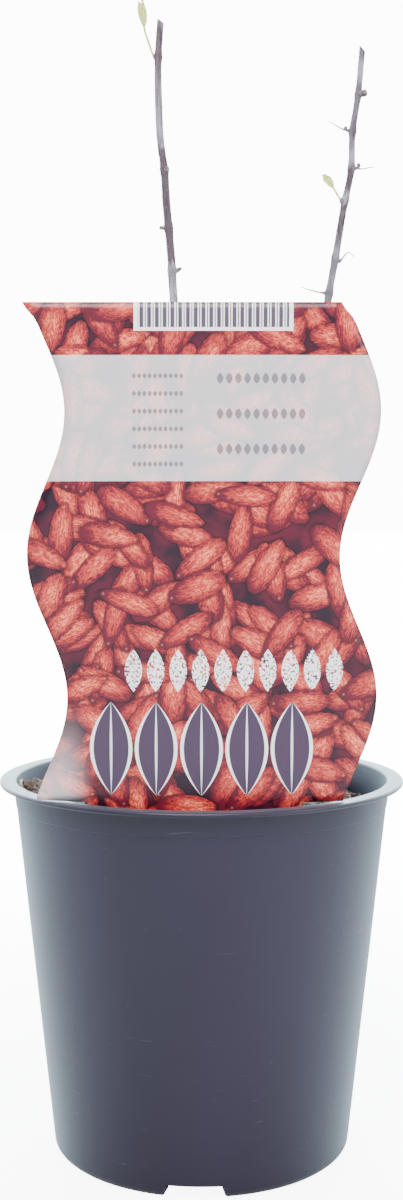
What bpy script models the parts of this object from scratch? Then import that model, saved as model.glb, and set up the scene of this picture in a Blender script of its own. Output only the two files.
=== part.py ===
"""Potted goji berry plant, for Blender 4.5, in metres with +Z up.

Two bare, thorny canes stand on one short woody stem in a filled nursery pot. A wavy picture card
is pushed into the soil in front of them, on the -Y side. The origin is the middle of the pot's
underside.
"""

import math

import bmesh
import bpy
from mathutils import Vector

# Clearance between pieces that touch, and the distance at which loose points are welded
GAP = 0.0003
WELD = 0.00001

# Pot: outer sizes
RIM_RADIUS = 0.0650
POT_HEIGHT = 0.1198
WALL_TOP_RADIUS = 0.0607
BASE_RADIUS = 0.0477

# Pot: wall, flange and foot
WALL = 0.0010
FLANGE = 0.0011
LIP_DROP = 0.0003
LIP_CURVE = 0.0006
MOUTH_CURVE = 0.0007
BAND_DEPTH = 0.0070
BAND_STEP = 0.0002
BASE_CURVE = 0.0030
FOOT_WIDTH = 0.0022
RECESS = 0.0046
FLOOR = 0.0012
FLOOR_TOP = RECESS + FLOOR
FLOOR_CURVE = 0.0020
POT_STEPS = 72

# Pot: drainage
NOTCHES = 3
NOTCH_WIDTH = 0.0175
NOTCH_HEIGHT = 0.0043
NOTCH_CURVE = 0.0020
NOTCH_CIRCLE = 0.0460
NOTCH_TURN = math.radians(-2.5)
DRAINS = 6
DRAIN_RADIUS = 0.0040
DRAIN_CIRCLE = 0.0300

# Soil
SOIL_LEVEL = 0.1135
SOIL_RINGS = 9
SOIL_STEPS = 48
SOIL_TILT = -0.030
SOIL_WAVE = 0.0005
SOIL_DROP = 0.0045
SOIL_HEAP = 0.0030

# Stem: a short crown that both canes grow from
FORK_HEIGHT = 0.1330
STEM_FOOT = Vector((0.0080, 0.0020, SOIL_LEVEL))
STEM_FORK = Vector((0.0050, 0.0000, FORK_HEIGHT))
STEM_RADIUS = 0.0039
ROOT_FLARE = 0.0024
CROWN_SWELL = 0.0010

# Canes: how they thicken at a node, and how finely they are drawn
NODE_SWELL = 0.00025
NODE_REACH = 0.0016
CANE_STEPS = 4

# Card: a sheet between two equal waves, with a tongue below
CARD_THICKNESS = 0.0005
CARD_WIDTH = 0.0906
CARD_MIDDLE = 0.0004
CARD_TOP = 0.2645
CARD_SHOULDER = POT_HEIGHT + GAP
CARD_WAVE = 0.0057
CARD_WAVE_LENGTH = 0.0828
CARD_WAVE_CREST = 0.2338
CARD_CORNER_SWEEP = 0.0021
CARD_CORNER_HEIGHT = 0.0055
CARD_FRONT = -0.0446
CARD_LEAN = 0.084
CARD_BOW = 0.0066
TONGUE_EDGES = (-0.0333, 0.0294)
TONGUE_TIP_EDGES = (-0.0180, 0.0140)
TONGUE_TAPER_TOP = 0.1140
TONGUE_BOTTOM = 0.0880

# Leaves of the two sprouts
LEAF_THICKNESS = 0.00025
LEAF_FOLD = 0.35
LEAF_ARCH = 0.05


def material(name, colour, roughness):
    """A plain finish: linear colour and roughness."""
    made = bpy.data.materials.new(name)
    made.use_nodes = True
    shader = made.node_tree.nodes["Principled BSDF"]
    shader.inputs["Base Color"].default_value = (*colour, 1.0)
    shader.inputs["Roughness"].default_value = roughness
    return made


def smoothstep(low, high, value):
    """0 below low, 1 above high, and a smooth rise between them."""
    share = min(1.0, max(0.0, (value - low) / (high - low)))
    return share * share * (3 - 2 * share)


def smooth_line(knots, steps):
    """Points on a Catmull-Rom curve through the knots, in so many steps from each to the next."""
    ends = [2 * knots[0] - knots[1], *knots, 2 * knots[-1] - knots[-2]]
    line = []
    for before, start, end, after in zip(ends, ends[1:], ends[2:], ends[3:]):
        for step in range(steps):
            t = step / steps
            turn = 2 * before - 5 * start + 4 * end - after
            bend = 3 * start - before - 3 * end + after
            line.append((2 * start + (end - before) * t + turn * t**2 + bend * t**3) / 2)
    line.append(knots[-1])
    return line


def arc(centre, radius, start, end, steps=4):
    """Points round a corner in a flat outline, with angles in degrees from its first axis."""
    points = []
    for step in range(steps + 1):
        angle = math.radians(start + (end - start) * step / steps)
        points.append((centre[0] + radius * math.cos(angle), centre[1] + radius * math.sin(angle)))
    return points


def collection(name):
    """A new collection in the scene."""
    made = bpy.data.collections.new(name)
    bpy.context.scene.collection.children.link(made)
    return made


def add(name, data, finish, place):
    """An object for a mesh or curve, with its finish, in a collection."""
    made = bpy.data.objects.new(name, data)
    if finish:
        data.materials.append(finish)
    place.objects.link(made)
    return made


def hide_cutter(cutter):
    """Shows a cutter as wire in the viewport and never in a render."""
    cutter.display_type = "WIRE"
    cutter.hide_render = True


def applied(source):
    """Turns a curve, or a mesh with modifiers, into a plain welded mesh under the same name."""
    graph = bpy.context.evaluated_depsgraph_get()
    mesh = bpy.data.meshes.new_from_object(source.evaluated_get(graph), depsgraph=graph)
    body = bmesh.new()
    body.from_mesh(mesh)
    bmesh.ops.remove_doubles(body, verts=body.verts, dist=WELD)
    body.to_mesh(mesh)
    body.free()
    mesh.shade_smooth()
    mesh.set_sharp_from_angle(angle=math.radians(40))
    name, matrix, place = source.name, source.matrix_world.copy(), source.users_collection[0]
    bpy.data.objects.remove(source)
    made = add(name, mesh, None, place)
    made.matrix_world = matrix
    return made


def turned(name, profile, steps, finish, place):
    """A profile of radius and height pairs, its outer side running down, turned round +Z."""
    mesh = bpy.data.meshes.new(name)
    edges = [(i, i + 1) for i in range(len(profile) - 1)]
    mesh.from_pydata([(radius, 0.0, height) for radius, height in profile], edges, [])
    made = add(name, mesh, finish, place)
    screw = made.modifiers.new("turn", "SCREW")
    screw.steps = steps
    screw.render_steps = steps
    screw.use_merge_vertices = True
    screw.merge_threshold = WELD
    return made


def plate(name, outline, thickness, place):
    """A flat outline in X and Z, as thick along Y as asked."""
    curve = bpy.data.curves.new(name, "CURVE")
    curve.dimensions = "2D"
    curve.fill_mode = "BOTH"
    curve.extrude = thickness / 2
    spline = curve.splines.new("POLY")
    spline.points.add(len(outline) - 1)
    for point, (x, z) in zip(spline.points, outline):
        point.co = (x, z, 0.0, 1.0)
    spline.use_cyclic_u = True
    made = add(name, curve, None, place)
    made.rotation_euler.x = math.radians(90)
    bpy.context.view_layer.update()
    return applied(made)


def limb(name, line, radii, finish, place):
    """A round limb along a line of points, with its own radius at each, and closed ends."""
    curve = bpy.data.curves.new(name, "CURVE")
    curve.dimensions = "3D"
    curve.bevel_depth = 1.0
    curve.bevel_resolution = 2
    curve.use_fill_caps = True
    spline = curve.splines.new("POLY")
    spline.points.add(len(line) - 1)
    for point, where, radius in zip(spline.points, line, radii):
        point.co = (*where, 1.0)
        point.radius = radius
    return applied(add(name, curve, finish, place))


def saw_off(wood, where, outward):
    """Cuts a limb flat at a point and drops the end that the cut faces away from."""
    body = bmesh.new()
    body.from_mesh(wood.data)
    geometry = body.verts[:] + body.edges[:] + body.faces[:]
    cut = bmesh.ops.bisect_plane(
        body, geom=geometry, dist=WELD / 10, plane_co=where, plane_no=outward, clear_outer=True
    )
    rim = [item for item in cut["geom_cut"] if isinstance(item, bmesh.types.BMEdge)]
    bmesh.ops.holes_fill(body, edges=rim)
    bmesh.ops.recalc_face_normals(body, faces=body.faces)
    body.to_mesh(wood.data)
    body.free()


def cut_with(piece, cutters):
    """Takes each cutter out of a piece, as a live modifier."""
    for cutter in cutters:
        hide_cutter(cutter)
        cut = piece.modifiers.new(cutter.name, "BOOLEAN")
        cut.operation = "DIFFERENCE"
        cut.solver = "EXACT"
        cut.object = cutter


def fused(pieces):
    """One body from several that overlap, under the name of the first."""
    others = collection("joined")
    for piece in pieces[1:]:
        piece.users_collection[0].objects.unlink(piece)
        others.objects.link(piece)
    join = pieces[0].modifiers.new("join", "BOOLEAN")
    join.operation = "UNION"
    join.solver = "EXACT"
    join.operand_type = "COLLECTION"
    join.collection = others
    made = applied(pieces[0])
    for piece in list(others.objects):
        bpy.data.objects.remove(piece)
    bpy.data.collections.remove(others)
    return made


# The pot's wall


def outer_radius(height):
    """The pot's outer wall is a straight cone between its base and its flange."""
    return BASE_RADIUS + (WALL_TOP_RADIUS - BASE_RADIUS) * height / (POT_HEIGHT - FLANGE)


def inner_radius(height):
    """The inside of the wall, parallel to the outside."""
    return outer_radius(height) - WALL


def pot_profile():
    """From the middle of the floor up the inside, over the flange, and down the outside."""
    mouth = (inner_radius(POT_HEIGHT) + MOUTH_CURVE, POT_HEIGHT - MOUTH_CURVE)
    lip = (RIM_RADIUS - LIP_CURVE, POT_HEIGHT - LIP_CURVE)
    lip_bottom = POT_HEIGHT - FLANGE - LIP_DROP
    flange_bottom = POT_HEIGHT - FLANGE
    band = flange_bottom - BAND_DEPTH
    corner = (inner_radius(FLOOR_TOP + FLOOR_CURVE) - FLOOR_CURVE, FLOOR_TOP + FLOOR_CURVE)
    base = (outer_radius(BASE_CURVE) - BASE_CURVE, BASE_CURVE)
    foot_inside = base[0] - FOOT_WIDTH
    return [
        (0.0, FLOOR_TOP),
        *arc(corner, FLOOR_CURVE, -90, 0, 3),
        *arc(mouth, MOUTH_CURVE, 180, 90),
        *arc(lip, LIP_CURVE, 90, 0),
        (RIM_RADIUS, lip_bottom + LIP_DROP),
        (RIM_RADIUS - LIP_DROP, lip_bottom),
        (RIM_RADIUS - 2 * LIP_DROP, lip_bottom),
        (RIM_RADIUS - 3 * LIP_DROP, flange_bottom),
        (outer_radius(flange_bottom) + LIP_CURVE, flange_bottom),
        (outer_radius(flange_bottom), flange_bottom - LIP_CURVE),
        (outer_radius(band), band),
        (outer_radius(band) - BAND_STEP, band - BAND_STEP),
        *arc(base, BASE_CURVE, 0, -90),
        (foot_inside, 0.0),
        (foot_inside - LIP_DROP, RECESS),
        (0.0, RECESS),
    ]


def notch_outline():
    """A drainage notch, open below, whose feet on both sides have rounded corners."""
    half = NOTCH_WIDTH / 2
    below = -NOTCH_CURVE
    right = arc((half + NOTCH_CURVE, NOTCH_CURVE), NOTCH_CURVE, 270, 180)
    left = [(-x, z) for x, z in reversed(right)]
    corners = [(half, NOTCH_HEIGHT), (-half, NOTCH_HEIGHT)]
    return [(half + NOTCH_CURVE, below), *right, *corners, *left, (-half - NOTCH_CURVE, below)]


def make_pot(finish, parts, cutters):
    """The turned pot, less its drainage notches and the holes in its floor."""
    pot = turned("pot", pot_profile(), POT_STEPS, finish, parts)
    cuts = []
    for index in range(NOTCHES):
        angle = NOTCH_TURN + 2 * math.pi * index / NOTCHES
        notch = plate(f"notch_{index}", notch_outline(), 4 * BASE_CURVE, cutters)
        notch.rotation_euler.z = angle
        notch.location = (NOTCH_CIRCLE * math.sin(angle), -NOTCH_CIRCLE * math.cos(angle), 0.0)
        cuts.append(notch)
    for index in range(DRAINS):
        angle = 2 * math.pi * index / DRAINS
        body = bmesh.new()
        bmesh.ops.create_cone(
            body, segments=20, radius1=DRAIN_RADIUS, radius2=DRAIN_RADIUS, depth=4 * FLOOR, cap_ends=True
        )
        mesh = bpy.data.meshes.new(f"drain_{index}")
        body.to_mesh(mesh)
        body.free()
        drain = add(mesh.name, mesh, None, cutters)
        drain.location = (DRAIN_CIRCLE * math.cos(angle), DRAIN_CIRCLE * math.sin(angle), RECESS)
        cuts.append(drain)
    cut_with(pot, cuts)
    return pot


# The card


def card_edges(height):
    """Both edges follow one wave, and sweep to -X over the last few millimetres."""
    phase = 2 * math.pi * (height - CARD_WAVE_CREST) / CARD_WAVE_LENGTH
    sweep = CARD_CORNER_SWEEP * smoothstep(CARD_TOP - CARD_CORNER_HEIGHT, CARD_TOP, height)
    middle = CARD_MIDDLE + CARD_WAVE * math.cos(phase) - sweep
    return middle - CARD_WIDTH / 2, middle + CARD_WIDTH / 2


def tongue_edges(height):
    """The tongue is straight down to the soil, and narrows below it."""
    share = max(0.0, (TONGUE_TAPER_TOP - height) / (TONGUE_TAPER_TOP - TONGUE_BOTTOM))
    return [edge + (tip - edge) * share for edge, tip in zip(TONGUE_EDGES, TONGUE_TIP_EDGES)]


def card_point(x, height):
    """The sheet leans to the front and is bowed at the rim, which fades out towards its top."""
    above = height - POT_HEIGHT
    bow = CARD_BOW * (1 - max(0.0, above) / (CARD_TOP - POT_HEIGHT))
    bulge = bow * (1 - (2 * x / (CARD_WIDTH + CARD_WAVE)) ** 2)
    return Vector((x, CARD_FRONT - CARD_LEAN * above - bulge, height))


def bent_sheet(name, edges, bottom, top, columns, rows, thickness, finish, place):
    """A grid laid on the card's surface between two edges, with a thickness."""
    body = bmesh.new()
    bmesh.ops.create_grid(body, x_segments=columns, y_segments=rows, size=1.0)
    for vertex in body.verts:
        height = bottom + (top - bottom) * (vertex.co.y + 1) / 2
        left, right = edges(height)
        vertex.co = card_point(left + (right - left) * (vertex.co.x + 1) / 2, height)
    mesh = bpy.data.meshes.new(name)
    body.to_mesh(mesh)
    body.free()
    made = add(name, mesh, finish, place)
    solidify = made.modifiers.new("thickness", "SOLIDIFY")
    solidify.thickness = thickness
    solidify.offset = 0.0
    solidify.use_even_offset = True
    return made


def make_card(finish, parts, cutters):
    """The sheet, die-cut below its shoulders so that only the tongue is left."""
    card = bent_sheet(
        "label_card", card_edges, TONGUE_BOTTOM, CARD_TOP, 8, 40, CARD_THICKNESS, finish, parts
    )
    outside, below = CARD_WIDTH, TONGUE_BOTTOM - FLOOR_CURVE
    cuts = []
    for name, edge, side in (("left", 0, -1), ("right", 1, 1)):
        outline = [
            (TONGUE_EDGES[edge], CARD_SHOULDER),
            (TONGUE_EDGES[edge], TONGUE_TAPER_TOP),
            (tongue_edges(below)[edge], below),
            (side * outside, below),
            (side * outside, CARD_SHOULDER),
        ]
        cutter = plate(f"shoulder_{name}", outline, CARD_WIDTH, cutters)
        cutter.location.y = CARD_FRONT
        cuts.append(cutter)
    cut_with(card, cuts)
    return card


# The soil


def soil_relief(x, y):
    """How far the peat stands above its level: flat round the stem, low and heaped on the right."""
    away = math.hypot(x - STEM_FOOT.x, y - STEM_FOOT.y)
    loose = smoothstep(0.009, 0.017, away)
    waves = SOIL_WAVE * (math.sin(310 * x + 1) * math.cos(270 * y) + math.sin(190 * y - 130 * x))
    drop = SOIL_DROP * smoothstep(0.042, 0.055, x)
    heap = SOIL_HEAP * math.exp(-((x - 0.042) ** 2 + (y - 0.024) ** 2) / 0.012**2)
    return loose * (SOIL_TILT * x + waves - drop + heap)


def make_soil(finish, parts, cutters):
    """The peat that fills the pot, with a slot for the card's tongue."""
    top_radius = inner_radius(SOIL_LEVEL) - GAP
    bottom = FLOOR_TOP + GAP
    corner = FLOOR_CURVE + GAP
    bottom_radius = inner_radius(bottom + corner) - GAP
    rings = [(top_radius * ring / SOIL_RINGS, SOIL_LEVEL) for ring in range(SOIL_RINGS + 1)]
    side = [(bottom_radius, bottom + corner), (bottom_radius - corner, bottom), (0.0, bottom)]
    soil = applied(turned("soil", rings + side, SOIL_STEPS, finish, parts))
    for vertex in soil.data.vertices:
        if vertex.co.z > SOIL_LEVEL - WELD:
            vertex.co.z += soil_relief(vertex.co.x, vertex.co.y)
            limit = (inner_radius(vertex.co.z) - GAP) / max(vertex.co.xy.length, WELD)
            vertex.co.xy *= min(1.0, limit)
    slot = bent_sheet(
        "tongue_slot",
        lambda height: (tongue_edges(height)[0] - GAP, tongue_edges(height)[1] + GAP),
        TONGUE_BOTTOM - GAP,
        POT_HEIGHT,
        8,
        6,
        CARD_THICKNESS + 2 * GAP,
        None,
        cutters,
    )
    cut_with(soil, [slot])
    return soil


# The canes


class Cane:
    """A cane's middle line, its taper, and the heights of its nodes."""

    def __init__(self, name, knots, base_radius, tip_radius, nodes):
        self.name = name
        self.line = smooth_line([Vector(knot) for knot in knots], CANE_STEPS)
        self.base_radius = base_radius
        self.tip_radius = tip_radius
        self.nodes = nodes

    def middle(self, height):
        """The point of the middle line at a height."""
        for low, high in zip(self.line, self.line[1:]):
            if high.z >= height:
                return low.lerp(high, (height - low.z) / (high.z - low.z))
        return self.line[-1]

    def radius(self, height):
        """A taper that is quick near the fork and slow above, with a swelling at each node."""
        share = (height - self.line[0].z) / (self.line[-1].z - self.line[0].z)
        taper = self.tip_radius + (self.base_radius - self.tip_radius) * (1 - share) ** 1.6
        swell = sum(math.exp(-(((height - node) / NODE_REACH) ** 2)) for node in self.nodes)
        return taper + NODE_SWELL * swell

    def beside(self, height, azimuth, out, up):
        """A point so far out from the middle line in one direction, and so far above a node."""
        turn = math.radians(azimuth)
        return self.middle(height) + Vector((out * math.cos(turn), out * math.sin(turn), up))


HIDDEN_NODE_STEP = 0.0230
HIDDEN_NODES = 5
GOLDEN_ANGLE = 137.5

LEFT_NODES = (0.3508, 0.3150, 0.2965, 0.2828)
RIGHT_NODES = (0.3366, 0.3252, 0.3136, 0.3037, 0.2855, 0.2747)


def with_hidden_nodes(nodes):
    """The nodes that show, and evenly spaced ones below them, behind the card."""
    return (*nodes, *(nodes[-1] - HIDDEN_NODE_STEP * (step + 1) for step in range(HIDDEN_NODES)))


LEFT_CANE = Cane(
    "cane_left",
    (
        (0.0027, 0.0000, 0.1320),
        (-0.0013, 0.0012, 0.1800),
        (-0.0056, 0.0024, 0.2300),
        (-0.0090, 0.0034, 0.2740),
        (-0.0097, 0.0039, 0.2863),
        (-0.0113, 0.0043, 0.3054),
        (-0.0119, 0.0045, 0.3150),
        (-0.0134, 0.0047, 0.3274),
        (-0.0139, 0.0050, 0.3483),
        (-0.0129, 0.0052, 0.3650),
    ),
    0.0021,
    0.00115,
    with_hidden_nodes(LEFT_NODES),
)
RIGHT_CANE = Cane(
    "cane_right",
    (
        (0.0072, 0.0000, 0.1320),
        (0.0190, -0.0008, 0.1720),
        (0.0300, -0.0017, 0.2140),
        (0.0371, -0.0023, 0.2500),
        (0.0403, -0.0028, 0.2729),
        (0.0425, -0.0031, 0.2858),
        (0.0451, -0.0035, 0.3018),
        (0.0473, -0.0037, 0.3132),
        (0.0476, -0.0039, 0.3246),
        (0.0494, -0.0041, 0.3373),
        (0.0508, -0.0045, 0.3540),
    ),
    0.0020,
    0.00095,
    with_hidden_nodes(RIGHT_NODES),
)
LEFT_CUT = (Vector((-0.0129, 0.0052, 0.3620)), Vector((0.60, -0.10, 0.80)))
RIGHT_CUT = (Vector((0.0507, -0.0045, 0.3504)), Vector((0.75, -0.10, 0.65)))


def make_stem(finish, parts):
    """The crown, from a flat cut on the soil with its root flare to the fork."""
    knots = [STEM_FOOT - (STEM_FORK - STEM_FOOT) / 4, STEM_FOOT, STEM_FORK]
    line = smooth_line([*knots, STEM_FORK + (STEM_FORK - STEM_FOOT) / 4], 5)
    height = STEM_FORK.z - STEM_FOOT.z
    radii = []
    for point in line:
        share = (point.z - STEM_FOOT.z) / height
        flare = ROOT_FLARE * math.exp(-4 * max(share, 0.0))
        swell = CROWN_SWELL * smoothstep(0.45, 1.0, share)
        radii.append(STEM_RADIUS + flare + swell)
    stem = limb("stem", line, radii, finish, parts)
    saw_off(stem, STEM_FOOT + Vector((0.0, 0.0, GAP)), Vector((0.0, 0.0, -1.0)))
    saw_off(stem, STEM_FORK, Vector((0.0, 0.0, 1.0)))
    return stem


def make_cane(cane, tip_cut, finish, parts):
    """One whole cane, cut level above the fork and on a slant at its tip."""
    radii = [cane.radius(point.z) for point in cane.line]
    wood = limb(cane.name, cane.line, radii, finish, parts)
    saw_off(wood, Vector((0.0, 0.0, FORK_HEIGHT + GAP)), Vector((0.0, 0.0, -1.0)))
    saw_off(wood, *tip_cut)
    return wood


# What grows from the nodes


def spur(name, cane, height, azimuth, path, radii, finish, parts):
    """A thorn, stub or leaf stalk that starts just clear of the bark.

    The path is its first rise above the node, then pairs of out and up. The radii are those of its
    root, its shaft and its tip.
    """
    root, shaft, tip = radii
    stations = [(cane.radius(height) + GAP, path[0]), *path[1:]]
    knots = [cane.beside(height, azimuth, out, up) for out, up in stations]
    line = smooth_line(knots, 3)
    along = [0.0]
    for first, second in zip(line, line[1:]):
        along.append(along[-1] + (second - first).length)
    thick = []
    for distance in along:
        taper = shaft + (tip - shaft) * distance / along[-1]
        thick.append(taper + (root - shaft) * math.exp(-((distance / (1.5 * root)) ** 2)))
    return limb(name, line, thick, finish, parts)


def bud(cane, height, azimuth, out, up, radius, finish, parts):
    """A round bud, a little longer than wide, whose middle is beside a node."""
    body = bmesh.new()
    bmesh.ops.create_uvsphere(body, u_segments=8, v_segments=6, radius=radius)
    bmesh.ops.scale(body, vec=(1.0, 1.0, 1.25), verts=body.verts)
    bmesh.ops.translate(body, vec=cane.beside(height, azimuth, out, up), verts=body.verts)
    mesh = bpy.data.meshes.new("bud")
    body.to_mesh(mesh)
    body.free()
    return add("bud", mesh, finish, parts)


def blade(base, tip, width, facing, finish, parts):
    """A young leaf from base to tip, widest past its middle, folded and arched along its rib."""
    along = tip - base
    across = along.cross(facing).normalized()
    upward = across.cross(along).normalized()
    body = bmesh.new()
    bmesh.ops.create_grid(body, x_segments=4, y_segments=8, size=1.0)
    for vertex in body.verts:
        side, share = vertex.co.x, (vertex.co.y + 1) / 2
        half = width / 2 * math.sin(math.pi * (0.05 + 0.90 * share) ** 0.85)
        lift = LEAF_FOLD * abs(side) * half + LEAF_ARCH * along.length * math.sin(math.pi * share)
        vertex.co = base + along * share + across * side * half + upward * lift
    mesh = bpy.data.meshes.new("blade")
    body.to_mesh(mesh)
    body.free()
    made = add("blade", mesh, finish, parts)
    solidify = made.modifiers.new("thickness", "SOLIDIFY")
    solidify.thickness = LEAF_THICKNESS
    solidify.offset = 0.0
    return applied(made)


def sprout(name, cane, height, azimuth, path, radii, leaves, finish, parts):
    """A leaf stalk from a node, with its young leaves; each leaf is its tip, width and facing."""
    pieces = [spur(name, cane, height, azimuth, path, radii, finish, parts)]
    base = cane.beside(height, azimuth, *path[-1])
    before = cane.beside(height, azimuth, *path[-2])
    sunk = base.lerp(before, 0.15)
    for (out, up), width, facing in leaves:
        tip = cane.beside(height, azimuth, out, up)
        pieces.append(blade(sunk, tip, width, Vector(facing), finish, parts))
    return fused(pieces)


def make_thorns(finish, parts):
    """The thorns and stubs that show above the card."""
    thorn = (0.0007, 0.00030, 0.00012)
    spur("stub_left_low", LEFT_CANE, LEFT_NODES[3], 0,
         (0.0002, (0.0031, 0.0010)), (0.0008, 0.00050, 0.00045), finish, parts)
    spur("stub_left_high", LEFT_CANE, LEFT_NODES[2], 180,
         (0.0, (0.0031, 0.0002)), (0.0007, 0.00065, 0.00055), finish, parts)
    spur("cut_stub_right", RIGHT_CANE, RIGHT_NODES[0], -35,
         (0.0, (0.0030, 0.0001)), (0.0011, 0.00105, 0.00100), finish, parts)
    spur("thorn_right_low", RIGHT_CANE, RIGHT_NODES[5], 180,
         (0.0001, (0.0040, 0.0005), (0.0064, 0.0011), (0.0090, 0.0020)), thorn, finish, parts)
    spur("thorn_right_curled", RIGHT_CANE, RIGHT_NODES[4], 0,
         (-0.0006, (0.0027, 0.0007), (0.0041, 0.0021), (0.0054, 0.0011), (0.0060, 0.0001)),
         thorn, finish, parts)
    high = spur("thorn_right_high", RIGHT_CANE, RIGHT_NODES[1], 180,
                (0.0002, (0.0032, 0.0007), (0.0056, 0.0020), (0.0079, 0.0032)), thorn, finish, parts)
    fused([high, bud(RIGHT_CANE, RIGHT_NODES[1], 180, 0.0022, 0.0009, 0.00055, finish, parts)])
    middle = spur("thorn_right_middle", RIGHT_CANE, RIGHT_NODES[2], 0,
                  (0.0001, (0.0034, -0.0001), (0.0056, 0.0003), (0.0077, 0.0006)), thorn, finish, parts)
    fused([middle, bud(RIGHT_CANE, RIGHT_NODES[2], 0, 0.0023, 0.0010, 0.00060, finish, parts)])


def make_hidden_thorns(cane, first_azimuth, finish, parts):
    """Below the nodes that show, thorns and stubs take turns, each a golden angle round the cane."""
    for index, height in enumerate(cane.nodes[-HIDDEN_NODES:]):
        azimuth = first_azimuth + GOLDEN_ANGLE * index
        if index % 2:
            path = (0.0, (0.0040, 0.0005))
            radii = (0.0008, 0.0006, 0.0005)
        else:
            path = (0.0, (0.0042, 0.0006), (0.0064, 0.0014), (0.0085, 0.0026))
            radii = (0.0008, 0.00035, 0.00014)
        spur(f"{cane.name}_thorn_{index + 1}", cane, height, azimuth, path, radii, finish, parts)


def make_sprouts(finish, parts):
    """One sprout on each cane: two leaves near the left tip, one on the right cane's side."""
    stalk = (0.0006, 0.00034, 0.00036)
    sprout("sprout_left", LEFT_CANE, LEFT_NODES[0], 180,
           (0.0006, (0.0029, 0.0040), (0.0040, 0.0071), (0.0047, 0.0100)), stalk,
           [((0.0063, 0.0176), 0.0027, (0.3, -1.0, 0.1)),
            ((0.0055, 0.0194), 0.0018, (0.6, 0.8, 0.0))], finish, parts)
    sprout("sprout_right", RIGHT_CANE, RIGHT_NODES[3], 180,
           (0.0004, (0.0028, 0.0024), (0.0041, 0.0045)), stalk,
           [((0.0074, 0.0081), 0.0025, (0.2, -1.0, 0.2))], finish, parts)


def main():
    """Clears the scene and makes the plant, piece by piece, from the ground up."""
    for old in list(bpy.data.objects):
        bpy.data.objects.remove(old)
    parts = collection("potted_goji_plant")
    cutters = collection("cutters")
    plastic = material("pot_plastic", (0.085, 0.090, 0.150), 0.45)
    peat = material("peat", (0.040, 0.025, 0.020), 0.95)
    bark = material("bark", (0.420, 0.370, 0.400), 0.80)
    leaf = material("young_leaf", (0.700, 0.730, 0.360), 0.55)
    print_side = material("printed_card", (0.560, 0.140, 0.090), 0.40)
    make_pot(plastic, parts, cutters)
    make_soil(peat, parts, cutters)
    make_card(print_side, parts, cutters)
    make_stem(bark, parts)
    make_cane(LEFT_CANE, LEFT_CUT, bark, parts)
    make_cane(RIGHT_CANE, RIGHT_CUT, bark, parts)
    make_thorns(bark, parts)
    make_hidden_thorns(LEFT_CANE, 120, bark, parts)
    make_hidden_thorns(RIGHT_CANE, 60, bark, parts)
    make_sprouts(leaf, parts)


main()
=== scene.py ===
"""A young goji berry plant in a nursery pot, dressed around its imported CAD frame.

Blender 4.5, metres, +Z up. The pot's underside is centred on the origin, and the printed side of
the card looks along -Y.
"""

import math

import bmesh
import bpy
import numpy as np
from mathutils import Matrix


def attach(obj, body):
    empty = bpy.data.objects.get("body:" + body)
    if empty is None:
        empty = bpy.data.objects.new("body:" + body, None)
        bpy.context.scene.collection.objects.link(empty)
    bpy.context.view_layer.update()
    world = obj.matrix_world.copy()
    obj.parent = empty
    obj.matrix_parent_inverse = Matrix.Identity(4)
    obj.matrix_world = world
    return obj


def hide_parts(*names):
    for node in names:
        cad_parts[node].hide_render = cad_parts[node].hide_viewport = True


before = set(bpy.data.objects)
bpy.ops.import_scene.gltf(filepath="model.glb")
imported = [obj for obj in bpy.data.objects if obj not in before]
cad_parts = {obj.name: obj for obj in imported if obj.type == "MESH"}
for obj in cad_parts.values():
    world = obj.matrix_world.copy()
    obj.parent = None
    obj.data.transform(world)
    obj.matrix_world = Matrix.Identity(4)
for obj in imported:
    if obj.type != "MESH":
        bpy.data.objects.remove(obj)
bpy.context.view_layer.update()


# Camera, floor and light
# A white studio: the camera stands half a metre in front of the pot and looks down by three degrees.
# The air is bright behind the pot and dim in front of it, the floor fades into it, and wide soft
# lights fall on the card.

CAMERA_PLACE = (0.0, -0.4952, 0.2038)
CAMERA_TILT = math.radians(90 - 3.11)
CAMERA_LENS = 46.03
SENSOR = 36.0
CAMERA_NEAR = 0.01
FLOOR_SIZE = 40.0
FLOOR_COLOUR = (0.35, 0.36, 0.37, 1.0)
FLOOR_ROUGHNESS = 0.6
# The floor's camera-only glow is weaker near the pot: painted soft shade round it, over the real shadow
FLOOR_NEAR = 0.06
FLOOR_FAR = 0.50
FLOOR_SEEN_NEAR = 8.0
AIR_COLOUR = (0.72, 0.94, 1.0, 1.0)
AIR_SEEN_COLOUR = (1.0, 1.0, 1.0, 1.0)
AIR_FRONT_COLOUR = (1.0, 0.90, 1.0, 1.0)
AIR_FRONT_STRENGTH = 0.35
AIR_BACK_STRENGTH = 11.0
AIR_SEEN_STRENGTH = 13.0
AIR_TURN = (-0.25, 0.75)
LIGHT_AIM = np.array((0.0, 0.0, 0.16))


def new_object(name, data):
    """An object in the scene with this mesh, camera or light."""
    made = bpy.data.objects.new(name, data)
    bpy.context.scene.collection.objects.link(made)
    return made


camera = new_object("camera", bpy.data.cameras.new("camera"))
camera.location = CAMERA_PLACE
camera.rotation_euler = (CAMERA_TILT, 0.0, 0.0)
camera.data.lens = CAMERA_LENS
camera.data.sensor_width = SENSOR
camera.data.clip_start = CAMERA_NEAR
bpy.context.scene.camera = camera


def plain_finish(name, colour, roughness, **sockets):
    """A material whose principled shader has these plain values on its own sockets."""
    made = bpy.data.materials.new(name)
    made.use_nodes = True
    shader = made.node_tree.nodes["Principled BSDF"]
    shader.inputs["Base Color"].default_value = (*colour[:3], 1.0)
    shader.inputs["Roughness"].default_value = roughness
    for socket, value in sockets.items():
        shader.inputs[socket.replace("_", " ")].default_value = value
    return made


def add_node(tree, kind, inputs=(), out=0, **settings):
    """A shader node's output; inputs are values or other outputs, by name or place."""
    node = tree.nodes.new("ShaderNode" + kind)
    for name, value in settings.items():
        setattr(node, name, value)
    for key, value in dict(inputs).items():
        if isinstance(value, bpy.types.NodeSocket):
            tree.links.new(value, node.inputs[key])
        else:
            node.inputs[key].default_value = value
    return node.outputs[out]


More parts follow.
